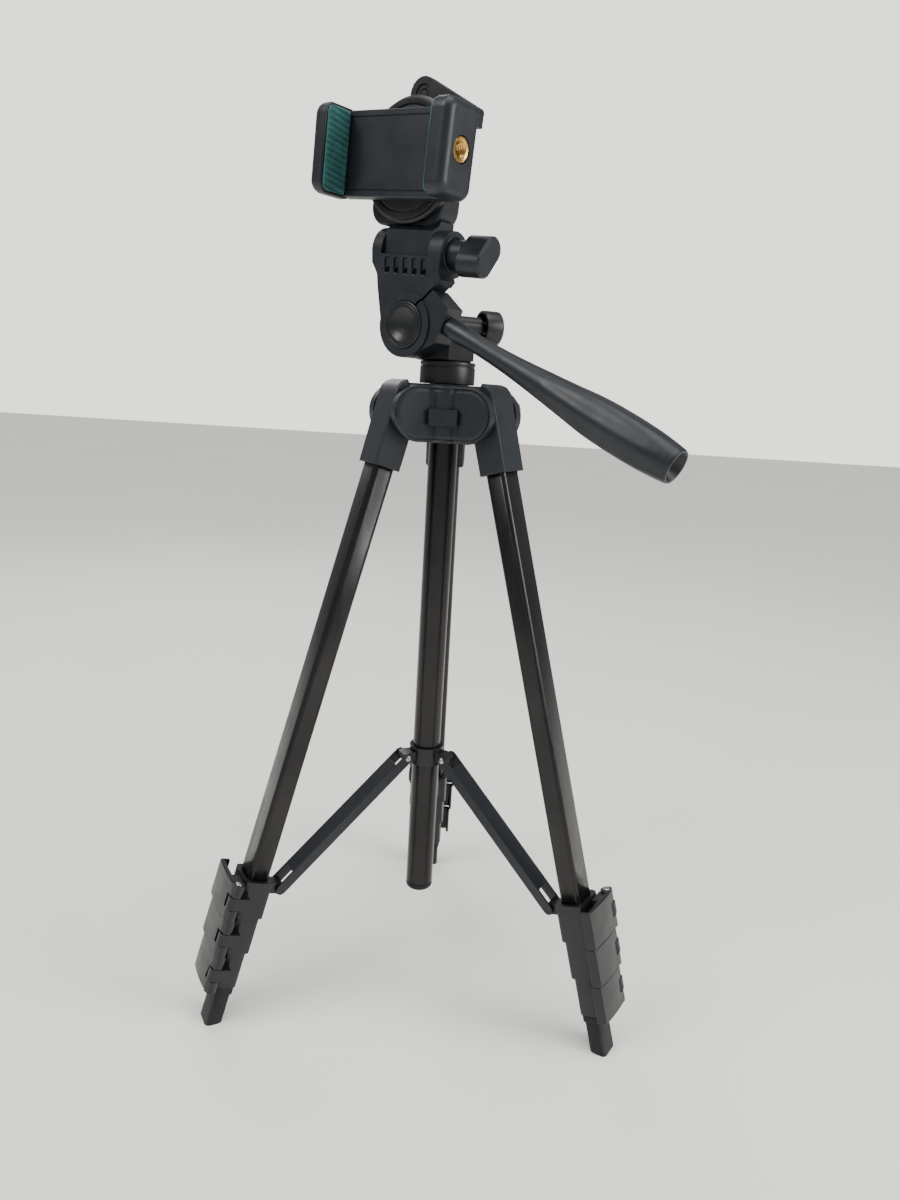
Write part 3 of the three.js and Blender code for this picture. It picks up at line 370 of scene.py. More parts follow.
def lathe(name, profile, sides=96):
    """A profile of (radius, height) turned about z. It starts and ends on the axis or closes on itself."""
    shape = bmesh.new()
    on_axis = profile[0][0] == 0
    rows = []
    for radius, height in profile:
        if radius == 0:
            rows.append([shape.verts.new((0, 0, height))])
        else:
            rows.append([shape.verts.new(point) for point in circle(radius, height, sides)])
    pairs = list(zip(rows, rows[1:])) + ([] if on_axis else [(rows[-1], rows[0])])
    for low, high in pairs:
        for j in range(sides):
            k = (j + 1) % sides
            corners = [low[j % len(low)], low[k % len(low)], high[k % len(high)], high[j % len(high)]]
            corners = list(dict.fromkeys(corners))  # a row on the axis is one point
            if len(corners) > 2:
                shape.faces.new(corners)
    bmesh.ops.recalc_face_normals(shape, faces=shape.faces)
    return from_bmesh(name, shape)


def rounded_profile(points, radius, steps=4):
    """Rounds the corners between a lathe profile's two ends."""
    most = 0.45  # share of an edge that one corner may use
    result = [points[0]]
    for before, corner, after in zip(points, points[1:], points[2:]):
        a, b, c = Vector(before), Vector(corner), Vector(after)
        reach = min(radius, (a - b).length * most, (c - b).length * most)
        start = b + (a - b).normalized() * reach
        end = b + (c - b).normalized() * reach
        for step in range(steps + 1):
            t = step / steps
            point = (1 - t) ** 2 * start + 2 * t * (1 - t) * b + t * t * end
            result.append((point.x, point.y))
    result.append(points[-1])
    return result


def close_recess(shape, matrix, low, high):
    """Takes out the blind recesses whose floors lie in a box of the given frame, and closes the faces."""
    inverse = matrix.inverted()
    floors = [v for v in shape.verts if all(low[i] < (inverse @ v.co)[i] < high[i] for i in range(3))]
    bmesh.ops.delete(shape, geom=floors, context="VERTS")
    bmesh.ops.holes_fill(shape, edges=[e for e in shape.edges if e.is_boundary], sides=0)


def crown(shape, matrix, low, high, fall, strips=10):
    """Arches the outer face of a panel across its width, so that its sides fall away."""
    face_layer = 1.2 * MM
    across = matrix.to_3x3() @ Vector((0, 1, 0))
    middle, half = (low.y + high.y) / 2, (high.y - low.y) / 2
    for index in range(1, strips):
        place = matrix @ Vector((0, low.y + (high.y - low.y) * index / strips, 0))
        geometry = shape.verts[:] + shape.edges[:] + shape.faces[:]
        bmesh.ops.bisect_plane(shape, geom=geometry, dist=0.001 * MM, plane_co=place, plane_no=across)
    inverse = matrix.inverted()
    for vertex in shape.verts:
        local = inverse @ vertex.co
        if local.x > high.x - face_layer:
            local.x -= fall * ((local.y - middle) / half) ** 2
            vertex.co = matrix @ local


def refined(node, width=0.5 * MM, segments=3, closed=None, prepare=None, joins=(), cuts=()):
    """The CAD solid with its facets joined, shaped, its edges rounded, and its fine joins and cuts made."""
    source = frame["nodes"][node].data
    shape = bmesh.new()
    shape.from_mesh(source)
    bmesh.ops.remove_doubles(shape, verts=shape.verts, dist=WELD)
    if closed:
        close_recess(shape, *closed)
    bmesh.ops.dissolve_limit(shape, angle_limit=FLAT, verts=shape.verts, edges=shape.edges)
    if prepare:
        prepare(shape)
    item = from_bmesh(f"{node}_body", shape)
    bevel(item, width, segments)
    for extra in joins:
        combine(item, extra, "UNION")
    for tool in cuts:
        combine(item, tool, "DIFFERENCE")
    smooth(item)
    weigh_normals(item)
    return finish_piece(item, BODY_OF[node], SLOT_OF[node], node)


# ------------------------------------------------------------------ legs

def leg_tube(side, number):
    """A drawn tube with rounded corners and a small chamfer at both ends."""
    node = f"leg_tube_{number}_{side}"
    matrix = leg_frame(side)
    low, high = local_box(node, matrix)
    centre = ((low.x + high.x) / 2, (low.y + high.y) / 2)
    half = ((high.x - low.x) / 2, (high.y - low.y) / 2)
    widest, step, least = 2.6, 0.6, 0.9  # corner radii in millimetres, smaller for each inner tube
    corner = max(widest - step * (number - 1), least) * MM
    wall, chamfer = 0.8 * MM, 0.15 * MM
    outer = rounded_outline(*half, corner, centre=centre)
    lip = rounded_outline(half[0] - chamfer, half[1] - chamfer, corner, centre=centre)
    bore_corner = max(corner - wall, 0.2 * MM)
    inner = rounded_outline(half[0] - wall, half[1] - wall, bore_corner, centre=centre)
    levels = ((outer, low.z + chamfer), (outer, high.z - chamfer), (lip, high.z), (inner, high.z),
              (inner, low.z), (lip, low.z))
    rings = [[(u, v, z) for u, v in outline] for outline, z in levels]
    item = placed(grid_solid(f"{node}_drawn", rings, closed_ends=False), matrix)
    smooth(item, 50)
    finish_piece(item, BODY_OF[node], SLOT_OF[node], node)


def slotted_screw(name, matrix, radius, height, body):
    """A small domed screw head with a slot, standing on the local z axis."""
    dome = [(0, 0), (radius, 0), (radius, height * 0.45), (radius * 0.86, height * 0.8),
            (radius * 0.5, height), (0, height)]
    item = lathe(name, rounded_profile(dome, 0.1 * MM, 3), 32)
    slot = block(f"{name}_slot", (-radius * 1.2, -radius * 0.14, height * 0.45),
                 (radius * 1.2, radius * 0.14, height * 2))
    combine(item, slot, "DIFFERENCE")
    placed(item, matrix)
    smooth(item, 35)
    return finish_piece(item, body, "steel")


def pin_head(name, profile, matrix, body):
    """A turned steel head. Its profile is in millimetres."""
    item = lathe(name, [(radius * MM, height * MM) for radius, height in profile], 24)
    smooth(placed(item, matrix), 35)
    finish_piece(item, body, "steel")


def lock(side, number):
    """One flip lock: lever with an arched panel and a flange, collar, hinge screw and collar pin."""
    matrix = leg_frame(side)
    lever = f"flip_lever_{number}_{side}"
    collar = f"lock_collar_{number}_{side}"
    low, high = local_box(lever, matrix)
    arch, flange_width, flange_reach = 0.9 * MM, 1.7 * MM, 3.2 * MM
    panel_back = high.x - 2.8 * MM
    flange = block(f"flange_{number}_{side}", (panel_back - flange_reach, low.y, low.z),
                   (high.x - 1.0 * MM, low.y + flange_width, high.z), 0.6 * MM, 4)
    refined(lever, 0.6 * MM, 4, prepare=lambda shape: crown(shape, matrix, low, high, arch),
            joins=(placed(flange, matrix),))
    refined(collar, 0.45 * MM, 3)

    hinge = matrix.inverted() @ joint_place(f"lever{number}_flip_{side}")
    top = matrix @ Matrix.Translation((hinge.x, hinge.y, high.z - 0.05 * MM))
    slot_angle = math.radians(35 + 50 * number)  # differs among a leg's three locks
    turn = Matrix.Rotation(slot_angle, 4, "Z")
    slotted_screw(f"hinge_screw_{number}_{side}", top @ turn, 1.9 * MM, 0.7 * MM, BODY_OF[lever])

    collar_low, collar_high = local_box(collar, matrix)
    middle = (collar_low.z + collar_high.z) / 2 if number > 1 else collar_low.z + 10 * MM
    place = Matrix.Translation((leg_face(collar, matrix), -3.5 * MM, middle - 5 * MM))
    inward = Matrix.Rotation(math.radians(-90), 4, "Y")
    button = [(0, -0.3), (1.1, -0.3), (1.1, 0.12), (0.8, 0.3), (0, 0.3)]
    pin_head(f"collar_pin_{number}_{side}", button, matrix @ (place @ inward), BODY_OF[collar])


def leg_face(collar, matrix):
    """The collar's inner face, towards the column, in the leg's frame."""
    points = local_points(collar, matrix)
    low_end = points[points[:, 2] < points[:, 2].min() + 0.1 * MM]
    return low_end[:, 0].min()


def leg(side):
    refined(f"leg_shoulder_{side}", 1.0 * MM, 4)
    for number in (1, 2, 3, 4):
        leg_tube(side, number)
    for number in (1, 2, 3):
        lock(side, number)
    refined(f"foot_{side}", 0.6 * MM, 4)
    refined(f"spreader_arm_{side}", 0.35 * MM, 3)
    rivet(side)


def rivet(side):
    """Domed rivet ends on the ring-side pin of a spreader arm."""
    joint = f"spreader_arm_fold_{side}"
    axis, place = joint_axis(joint), joint_place(joint)
    node = f"spreader_arm_{side}"
    half = max(abs((Vector(v.co) - place).dot(axis)) for v in frame["nodes"][node].data.vertices)
    dome = [(0, -0.2), (1.6, -0.2), (1.6, 0.15), (1.1, 0.6), (0, 0.75)]
    for sign, name in ((1, "a"), (-1, "b")):
        matrix = along(axis * sign, place + axis * sign * half)
        pin_head(f"arm_rivet_{name}_{side}", dome, matrix, BODY_OF[node])


# ------------------------------------------------------------- hub, column

def hub():
    refined("hub_body", 0.7 * MM, 4)
    for name, azimuth in (("front", 270.0), ("right", 30.0), ("left", 150.0)):
        hub_face(name, azimuth)


def hub_face(name, azimuth):
    """The lipped oval face between two legs, which runs from wing to wing over the hub's round bulge."""
    low, _ = local_box("hub_body", COLUMN)
    pivot = COLUMN.inverted() @ joint_place("leg_fold_left")
    pivot_radius, middle = math.hypot(pivot.x, pivot.y), pivot.z
    wing_radius = middle - low.z
    barrel, wing_offset = 21.5 * MM, 15.0 * MM
    strap_centre, strap_radius = 14.6 * MM, 8 * MM  # a second bulge, on the front face only
    fillet, thickness, spare = 1.2 * MM, 1.6 * MM, 0.05 * MM
    half_angle = math.radians(60)
    half = (pivot_radius + wing_radius) * math.sin(half_angle) - wing_offset * math.cos(half_angle)
    valley = wing_offset / math.sin(half_angle)
    columns, rows = 120, 72
    xs = [-half + 2 * half * i / columns for i in range(columns + 1)]
    depths = []
    for x in xs:
        wings = valley + abs(x) / math.tan(half_angle)
        bulge = math.sqrt(max(barrel ** 2 - x * x, 0.0))
        if name == "front":
            bulge = max(bulge, strap_centre + math.sqrt(max(strap_radius ** 2 - x * x, 0.0)))
        depths.append(soft_max(bulge, wings, fillet))
    pieces = [math.hypot(xs[i + 1] - xs[i], depths[i + 1] - depths[i]) for i in range(columns)]
    lengths = np.cumsum([0.0] + pieces)
    lengths = lengths - lengths[-1] / 2
    shape = bmesh.new()
    front, back = [], []
    for x, depth, length in zip(xs, depths, lengths):
        beyond = max(abs(length) - (lengths[-1] - wing_radius), 0.0)
        reach = math.sqrt(max(wing_radius ** 2 - beyond ** 2, 0.0)) + spare
        front.append([])
        back.append([])
        for j in range(rows + 1):
            z = -reach * math.cos(math.pi * j / rows)
            inside = wing_radius - math.hypot(beyond, z)
            raised = depth + lip_height(inside)
            front[-1].append(shape.verts.new((x, -raised, middle + z)))
            back[-1].append(shape.verts.new((x, -depth + thickness, middle + z)))
    skin(shape, front, back)
    item = from_bmesh(f"hub_face_{name}", shape)
    for tool in face_ways(name, middle):
        combine(item, tool, "DIFFERENCE")
    turn = Matrix.Rotation(math.radians(azimuth - 270.0), 4, "Z")
    placed(item, COLUMN @ turn)
    smooth(item, 30)
    finish_piece(item, "hub", SLOT_OF["hub_body"])


def soft_max(a, b, width):
    """The larger of two heights, with a round fillet where they are close."""
    share = max(width - abs(a - b), 0.0) / width
    return max(a, b) + share * share * width / 4


def lip_height(inside):
    """Height of the face over its base: a rounded lip, a groove inside it, then the raised middle."""
    lip, groove, plate = 1.5 * MM, 2.1 * MM, 3.2 * MM
    base, lip_rise, plate_rise = 0.1 * MM, 0.8 * MM, 0.3 * MM
    if inside < lip:
        share = min(max(inside / lip, 0.0), 1.0)
        return base + lip_rise * math.sin(math.pi * share) ** 0.6
    if inside < groove:
        return base
    return base + plate_rise * min((inside - groove) / (plate - groove), 1.0)


def face_ways(name, middle):
    """Openings in a hub face: the pockets beside the strap lug, and the lock screw's hole."""
    depth = 40 * MM
    if name == "front":
        for side in (-1, 1):
            inner, outer = side * 6.9 * MM, side * 11.5 * MM
            yield block(f"pocket_{side}", (min(inner, outer), -depth, middle - 4.2 * MM),
                        (max(inner, outer), 0, middle + 1.2 * MM))
    if name == "right":
        hole = 2.7 * MM
        tool = lathe("screw_way", [(0, 0), (hole, 0), (hole, depth), (0, depth)], 48)
        place = Matrix.Translation((0, 0, middle + 3 * MM)) @ Matrix.Rotation(math.radians(90), 4, "X")
        yield placed(tool, place)


def skin(shape, front, back):
    """Closes two equal grids of vertices into one solid."""
    columns, rows = len(front) - 1, len(front[0]) - 1
    for i in range(columns):
        for j in range(rows):
            shape.faces.new((front[i][j], front[i + 1][j], front[i + 1][j + 1], front[i][j + 1]))
            shape.faces.new((back[i][j], back[i][j + 1], back[i + 1][j + 1], back[i + 1][j]))
    for i in range(columns):
        for j in (0, rows):
            shape.faces.new((front[i][j], front[i + 1][j], back[i + 1][j], back[i][j]))
    for j in range(rows):
        for i in (0, columns):
            shape.faces.new((front[i][j], front[i][j + 1], back[i][j + 1], back[i][j]))
    bmesh.ops.remove_doubles(shape, verts=shape.verts, dist=0.01 * MM)
    bmesh.ops.recalc_face_normals(shape, faces=shape.faces)


def column():
    """The drawn tube with its end cap, and the grooved disc under the head."""
    low, high = local_box("column_tube", COLUMN)
    radius = high.x
    wall = 1.0 * MM
    profile = [(radius, low.z), (radius, high.z), (radius - wall, high.z), (radius - wall, low.z)]
    item = placed(lathe("column_drawn", profile, 96), COLUMN)
    smooth(item, 35)
    finish_piece(item, "column", "anodised_tube", "column_tube")

    low, high = local_box("column_end_cap", COLUMN)
    skirt = 4.0 * MM
    plug = radius - wall - GAP
    cap = [(0, low.z), (radius - 1.6 * MM, low.z), (radius, low.z + 1.6 * MM), (radius, low.z + skirt),
           (plug, low.z + skirt), (plug, high.z), (0, high.z)]
    item = placed(lathe("column_end_cap_moulded", rounded_profile(cap, 0.9 * MM, 5), 96), COLUMN)
    smooth(item, 35)
    finish_piece(item, "column", "black_rubber", "column_end_cap")

    low, high = local_box("pan_base", COLUMN)
    outer, socket = high.x, radius + GAP
    shelf = low.z + 5 * MM
    groove, half_groove, depth = high.z - 2.2 * MM, 0.4 * MM, 0.4 * MM
    disc = [(0, shelf), (socket, shelf), (socket, low.z), (outer, low.z),
            (outer, groove - half_groove), (outer - depth, groove - half_groove),
            (outer - depth, groove + half_groove), (outer, groove + half_groove),
            (outer, high.z), (0, high.z)]
    item = placed(lathe("pan_base_turned", rounded_profile(disc, 0.45 * MM, 4), 128), COLUMN)
    smooth(item, 35)
    finish_piece(item, "column", "black_plastic", "pan_base")


def lock_knob():
    """Ribbed thumb screw that clamps the column."""
    joint = "column_lock_turn"
    matrix = along(joint_axis(joint), joint_place(joint))
    low, high = local_box("column_lock_knob", matrix)
    points = local_points("column_lock_knob", matrix)
    radii = np.hypot(points[:, 0], points[:, 1])
    grip_radius, screw_radius = radii.max(), radii[points[:, 2] < low.z + MM].max()
    grip_start = points[radii > grip_radius * 0.8][:, 2].min()
    rings = []
    sides, ribs, rib_depth = 160, 16, 0.5 * MM
    profile = [(screw_radius, low.z), (screw_radius, grip_start), (grip_radius * 0.86, grip_start),
               (grip_radius * 0.96, grip_start + 0.5 * MM), (grip_radius, grip_start + 1.4 * MM),
               (grip_radius, high.z - 1.4 * MM), (grip_radius * 0.95, high.z - 0.5 * MM),
               (grip_radius * 0.84, high.z), (grip_radius * 0.6, high.z)]
    for radius, z in profile:
        depth = rib_depth if radius > screw_radius * 1.3 else 0  # the screw itself is plain
        ring = []
        for angle in turns(sides):
            reach = radius - depth * (0.5 - 0.5 * math.cos(ribs * angle))
            ring.append((reach * math.cos(angle), reach * math.sin(angle), z))
        rings.append(ring)
    item = placed(grid_solid("column_lock_knob_ribbed", rings), matrix)
    smooth(item, 35)
    finish_piece(item, "column_lock", "black_rubber", "column_lock_knob")


# ------------------------------------------------------------------ head

def pan_parts():
    """The pan block, and the cup-shaped knob that locks it."""
    refined("pan_block", 0.8 * MM, 4)
    joint = "pan_lock_turn"
    matrix = along(joint_axis(joint), joint_place(joint))
    low, high = local_box("pan_lock_knob", matrix)
    radius = high.x
    points = local_points("pan_lock_knob", matrix)
    face = points[np.hypot(points[:, 0], points[:, 1]) > radius * 0.98][:, 2].min()
    wall, screw, boss = 1.3 * MM, 2.0 * MM, 3.4 * MM
    floor = high.z - 2.4 * MM
    cup = [(0, low.z), (screw, low.z), (screw, face + 2 * MM), (boss, face + 2 * MM), (boss, floor),
           (radius - wall, floor), (radius - wall, face), (radius, face), (radius, high.z - 1.2 * MM),
           (radius - 1.6 * MM, high.z), (radius - 3.2 * MM, high.z),
           (radius - 3.6 * MM, high.z - 0.4 * MM), (0, high.z - 0.4 * MM)]
    item = placed(lathe("pan_lock_knob_cup", rounded_profile(cup, 0.5 * MM, 4), 96), matrix)
    smooth(item, 35)
    finish_piece(item, "pan_lock", "black_plastic", "pan_lock_knob")


def axle_cap():
    """Dished cap on the tilt boss, with its raised rim and the axle behind it."""
    matrix = HEAD @ Matrix.Rotation(math.radians(-90), 4, "X")
    low, high = local_box("tilt_axle_cap", HEAD)
    front, back, rim = low.y, high.y, high.x
    seat, axle = front + 2.5 * MM, 4.0 * MM
    dish = [(0, front + 2.3 * MM), (2.4 * MM, front + 2.15 * MM), (5.0 * MM, front + 1.5 * MM),
            (6.9 * MM, front + 0.65 * MM), (7.9 * MM, front + 0.12 * MM), (8.5 * MM, front),
            (9.5 * MM, front), (9.7 * MM, front + 0.3 * MM), (9.9 * MM, front + 0.3 * MM),
            (10.1 * MM, front), (rim - 0.4 * MM, front), (rim, front + 0.4 * MM), (rim, seat),
            (axle, seat), (axle, back), (0, back)]
    item = placed(lathe("tilt_axle_cap_dished", rounded_profile(dish, 0.7 * MM, 4), 128), matrix)
    smooth(item, 35)
    finish_piece(item, "tilt", "black_plastic", "tilt_axle_cap")


def grille_cuts():
    """Tools for five leaning slots in the tilt body's front: a channel with a deeper hole at its foot."""
    low, _ = local_box("tilt_body", HEAD)
    front = low.y + 1.0 * MM
    count, pitch, centre = 5, 5.8 * MM, -4.0 * MM
    foot, top, lean = 23.4 * MM, 31.2 * MM, math.radians(7)
    flare, corner, lift = 0.35 * MM, 0.8 * MM, 0.3 * MM
    channel = ((0, 1.0 * MM), (0, flare), (flare, 0), (flare, -MM))
    hole = ((0, 2.3 * MM), (0, -MM))
    tools = (("channel", 1.5 * MM, foot, top, channel),
             ("hole", 1.2 * MM, foot + lift, foot + 3.2 * MM, hole))
    for index in range(count):
        x = centre + (index - (count - 1) / 2) * pitch
        for name, half, low_z, high_z, mouth in tools:
            middle = (low_z + high_z) / 2
            rings = []
            for grow, y in mouth:
                half_high = (high_z - low_z) / 2 + grow
                outline = rounded_outline(half + grow, half_high, corner + grow, 5, (0, middle))
                rings.append([(x + u - (v - (foot + top) / 2) * math.tan(lean), front + y, v)
                              for u, v in outline])
            yield placed(grid_solid(f"{name}_{index}", rings), HEAD)


def tilt_parts():
    """The tilt body with its grille, the cap on its boss, and the hinge ring and knob of the flip."""
    low, _ = local_box("tilt_body", HEAD)
    grille = (HEAD, (-20 * MM, low.y + 3.0 * MM, 23 * MM), (12 * MM, low.y + 3.8 * MM, 31.5 * MM))
    refined("tilt_body", 0.7 * MM, 4, closed=grille, cuts=grille_cuts())
    axle_cap()
    flip = HEAD.inverted() @ joint_place("platform_flip")
    knob_low, _ = local_box("flip_lock_knob", HEAD)
    ring = [(7.5 * MM, -0.3 * MM), (8.6 * MM, -0.3 * MM), (8.6 * MM, 0.3 * MM), (8.3 * MM, 0.6 * MM),
            (7.8 * MM, 0.6 * MM), (7.5 * MM, 0.3 * MM)]
    end = Matrix.Translation((knob_low.x - GAP, flip.y, flip.z)) @ Matrix.Rotation(math.radians(90), 4, "Y")
    item = placed(lathe("flip_hinge_ring", ring, 96), HEAD @ end)
    smooth(item, 35)
    finish_piece(item, "tilt", "black_plastic")
    refined("flip_lock_knob", 1.2 * MM, 5)


def handle():
    """Pan handle: slim neck, long fluted grip and a hollow end."""
    joint = "handle_turn"
    matrix = along(joint_axis(joint), joint_place(joint))
    points = local_points("pan_handle", matrix)
    radii = np.hypot(points[:, 0], points[:, 1])
    low, high = points[:, 2].min(), points[:, 2].max()
    hole = radii[(points[:, 2] > high - 0.1 * MM) & (radii > MM)].min()
    floor = max(z for z, r in zip(points[:, 2], radii) if r < 0.1 * MM and z > 0)
    stations = sorted({round(z, 5) for z, r in zip(points[:, 2], radii) if z > 0 and r > hole * 1.05})
    outer = [max(r for z, r in zip(points[:, 2], radii) if abs(z - s) < 0.05 * MM) for s in stations]
    tail = radii[points[:, 2] < low + 0.1 * MM].max()
    start, length = stations[0], high - stations[0]
    flutes, sides, steps = 6, 144, 150
    flute_start, flute_share, flute_depth = 0.46, 0.48, 0.75 * MM
    edge_round, edge_length, edge_least = 0.8 * MM, 0.9 * MM, 0.15
    rings = [circle(tail, z, sides) for z in (low, start)]
    for step in range(steps + 1):
        z = start + (high - start) * step / steps
        radius = smooth_radius(z, stations, outer)
        share = (z - start) / length
        edge = min(1.0, (high - z) / edge_length + edge_least)
        radius -= edge_round * (1 - math.sqrt(max(0.0, 1 - (1 - edge) ** 2)))
        rise = math.sin(math.pi * min(max((share - flute_start) / flute_share, 0), 1)) ** 0.7
        ring = []
        for a in turns(sides):
            groove = 1 - abs(math.cos(flutes * a / 2)) ** 1.6
            reach = radius - flute_depth * rise * groove
            ring.append((reach * math.cos(a), reach * math.sin(a), z))
        rings.append(ring)
    rim = outer[-1] - 1.5 * MM
    hollow = ((rim + 0.3 * MM, high), (rim, high - 0.4 * MM), (hole + 0.4 * MM, high - 6 * MM),
              (hole, high - 6.4 * MM), (hole, floor), (hole * 0.1, floor))
    for radius, z in hollow:
        rings.append(circle(radius, z, sides))
    item = placed(grid_solid("pan_handle_fluted", rings), matrix)
    smooth(item, 50)
    finish_piece(item, "handle", "charcoal_plastic", "pan_handle")


def smooth_radius(z, stations, radii):
    """Catmull-Rom through the grip's radius stations."""
    last = len(stations) - 1
    i = min(max(int(np.searchsorted(stations, z)) - 1, 0), last - 1)
    t = (z - stations[i]) / (stations[i + 1] - stations[i])
    p0, p1, p2, p3 = (radii[min(max(k, 0), last)] for k in (i - 1, i, i + 1, i + 2))
    return 0.5 * (2 * p1 + (p2 - p0) * t + (2 * p0 - 5 * p1 + 4 * p2 - p3) * t * t
                  + (3 * p1 - p0 - 3 * p2 + p3) * t ** 3)


def release_disc():
    """Quick-release plate with its two stepped rings towards the clip."""
    low, high = local_box("quick_release_plate", HEAD)
    centre = (low + high) / 2
    turned = Matrix.Rotation(math.radians(-90), 4, "X")
    matrix = HEAD @ Matrix.Translation((centre.x, 0, centre.z)) @ turned
    radius, front, back = (high.x - low.x) / 2, low.y, high.y
    steps = [(0, front), (radius - 5.4 * MM, front), (radius - 5.4 * MM, front + 0.9 * MM),
             (radius - 4.4 * MM, front + 0.9 * MM), (radius - 4.4 * MM, front + 0.3 * MM),
             (radius - 1.5 * MM, front + 0.3 * MM), (radius - 1.5 * MM, front + 2.2 * MM),
             (radius, front + 2.6 * MM), (radius, back), (0, back)]
    item = lathe("quick_release_disc", rounded_profile(steps, 0.35 * MM, 4), 160)
    screw_low, screw_high = local_box("camera_screw", HEAD)
    screw = (screw_low + screw_high) / 2
    offset = (screw.x - centre.x, -(screw.z - centre.z))
    head_radius = (screw_high.x - screw_low.x) / 2
    ways = (("head", head_radius + GAP, back - 2.5 * MM), ("stem", 3.4 * MM, front - MM))
    for name, reach, start in ways:
        tool = lathe(f"way_{name}", [(0, start), (reach, start), (reach, back + MM), (0, back + MM)], 64)
        tool.data.transform(Matrix.Translation((*offset, 0)))
        combine(item, tool, "DIFFERENCE")
    placed(item, matrix)
    smooth(item, 35)
    finish_piece(item, "flip", "black_plastic", "quick_release_plate")


def flip_parts():
    refined("flip_platform", 0.8 * MM, 4)
    refined("quick_release_lever", 0.35 * MM, 3)
    release_disc()
    refined("camera_screw", 0.3 * MM, 2)


# ------------------------------------------------------------------ clip

def face_edges(shape, x):
    """The edges that lie in the plane at x."""
    return [e for e in shape.edges if all(abs(v.co.x - x) < 1e-6 for v in e.verts)]


def jaw_block(name, low, high, outward):
    """A jaw cheek: large radii on its outer face, a small one on the side that meets the phone."""
    corner, outer, inner = 6 * MM, 4.6 * MM, 1.2 * MM
    outer_x, inner_x = (high[0], low[0]) if outward > 0 else (low[0], high[0])
    shape = cube_between(low, high)
    sideways = [e for e in shape.edges if abs((e.verts[0].co - e.verts[1].co).normalized().x) > 0.9]
    bmesh.ops.bevel(shape, geom=sideways, offset=corner, segments=10, profile=0.5, affect="EDGES")
    bmesh.ops.bevel(shape, geom=face_edges(shape, outer_x), offset=outer, segments=10, profile=0.5,
                    affect="EDGES")
    bmesh.ops.bevel(shape, geom=face_edges(shape, inner_x), offset=inner, segments=4, profile=0.5,
                    affect="EDGES")
    return from_bmesh(name, shape)


def clip():
    body_low, body_high = local_box("clip_body", HEAD)
    fixed_low, fixed_high = local_box("fixed_jaw_pad", HEAD)
    _, moving_high = local_box("sliding_jaw_pad", HEAD)
    opening_left = fixed_low.x - GAP
    opening_right = moving_high.x + GAP
    plate_front = fixed_high.y + GAP
    ways = list(rail_ways(opening_right))
    clip_back(body_low, body_high, opening_left, plate_front, ways)

    insert_low, insert_high = local_box("thread_insert", HEAD)
    centre = (insert_low + insert_high) / 2
    radius = (insert_high.y - insert_low.y) / 2
    turned = Matrix.Rotation(math.radians(90), 4, "Y")
    sideways = Matrix.Translation((0, centre.y, centre.z)) @ turned
    sliding_cheek(body_low, opening_right, sideways, insert_low.x - GAP, radius, ways)

    ribbed_pad("fixed_jaw_pad", 1)
    ribbed_pad("sliding_jaw_pad", -1)
    insert(sideways, insert_low.x, insert_high.x, radius)


def clip_back(body_low, body_high, opening_left, plate_front, ways):
    """The fixed cheek and the back plate, which has two long grooves and the channels of the rails."""
    jaw = jaw_block("clip_fixed", body_low, (opening_left, body_high.y, body_high.z), -1)
    chamfer, start, slope, bottom, depth = 0.4 * MM, 2.6 * MM, 0.2 * MM, 0.5 * MM, 0.45 * MM
    edge = [(chamfer, 0), (0, chamfer), (0, start), (depth, start + slope),
            (depth, start + slope + bottom), (0, start + 2 * slope + bottom)]
    low_z, high_z = body_low.z + MM, body_high.z - MM
    section = [(body_high.y, low_z), (body_high.y, high_z)]
    section += [(plate_front + y, high_z - drop) for y, drop in edge]
    section += [(plate_front + y, low_z + drop) for y, drop in reversed(edge)]
    plate = prism("clip_plate", section, opening_left - 2 * MM, body_high.x)
    combine(jaw, plate, "UNION")
    for name, low, high in ways:
        combine(jaw, block(name, low, high), "DIFFERENCE")
    placed(jaw, HEAD)
    smooth(jaw, 35)
    weigh_normals(jaw)
    jaw.name = "clip_body_moulded"
    finish_piece(jaw, "flip", "charcoal_plastic", "clip_body")


def sliding_cheek(body_low, opening_right, sideways, floor, radius, ways):
    """The cheek that slides, with its two rails and the pocket for the brass insert."""
    jaw_low, jaw_high = local_box("clip_sliding_jaw", HEAD)
    start = (opening_right, jaw_low.y, body_low.z)
    cheek = jaw_block("clip_sliding_jaw_moulded", start, jaw_high, 1)
    reach, mouth = radius + 0.25 * MM, jaw_high.x + MM
    pocket = lathe("pocket", [(0, floor), (reach, floor), (reach, mouth), (0, mouth)], 96)
    combine(cheek, placed(pocket, sideways), "DIFFERENCE")
    for name, (x0, y0, z0), (_, y1, z1) in ways:
        rail = block(name, (x0 + 3 * MM, y0 + GAP, z0 + GAP), (opening_right + 2 * MM, y1 - GAP, z1 - GAP))
        combine(cheek, rail, "UNION")
    placed(cheek, HEAD)
    smooth(cheek, 35)
    weigh_normals(cheek)
    finish_piece(cheek, "jaw", "charcoal_plastic", "clip_sliding_jaw")


def rail_ways(opening_right):
    """The two channels in the back plate that the sliding jaw's rails run in."""
    points = local_points("clip_sliding_jaw", HEAD)
    behind = points[points[:, 0] < opening_right - 10 * MM]
    middle_z = (behind[:, 2].min() + behind[:, 2].max()) / 2
    tops = behind[behind[:, 2] > middle_z]
    z0, z1 = tops[:, 2].min(), tops[:, 2].max()
    y0, y1 = behind[:, 1].min(), behind[:, 1].max()
    start = behind[:, 0].min() - 3 * MM
    for name, low, high in (("rail_top", z0, z1), ("rail_low", 2 * middle_z - z1, 2 * middle_z - z0)):
        yield name, (start, y0 - GAP, low - GAP), (opening_right + MM, y1 + GAP, high + GAP)


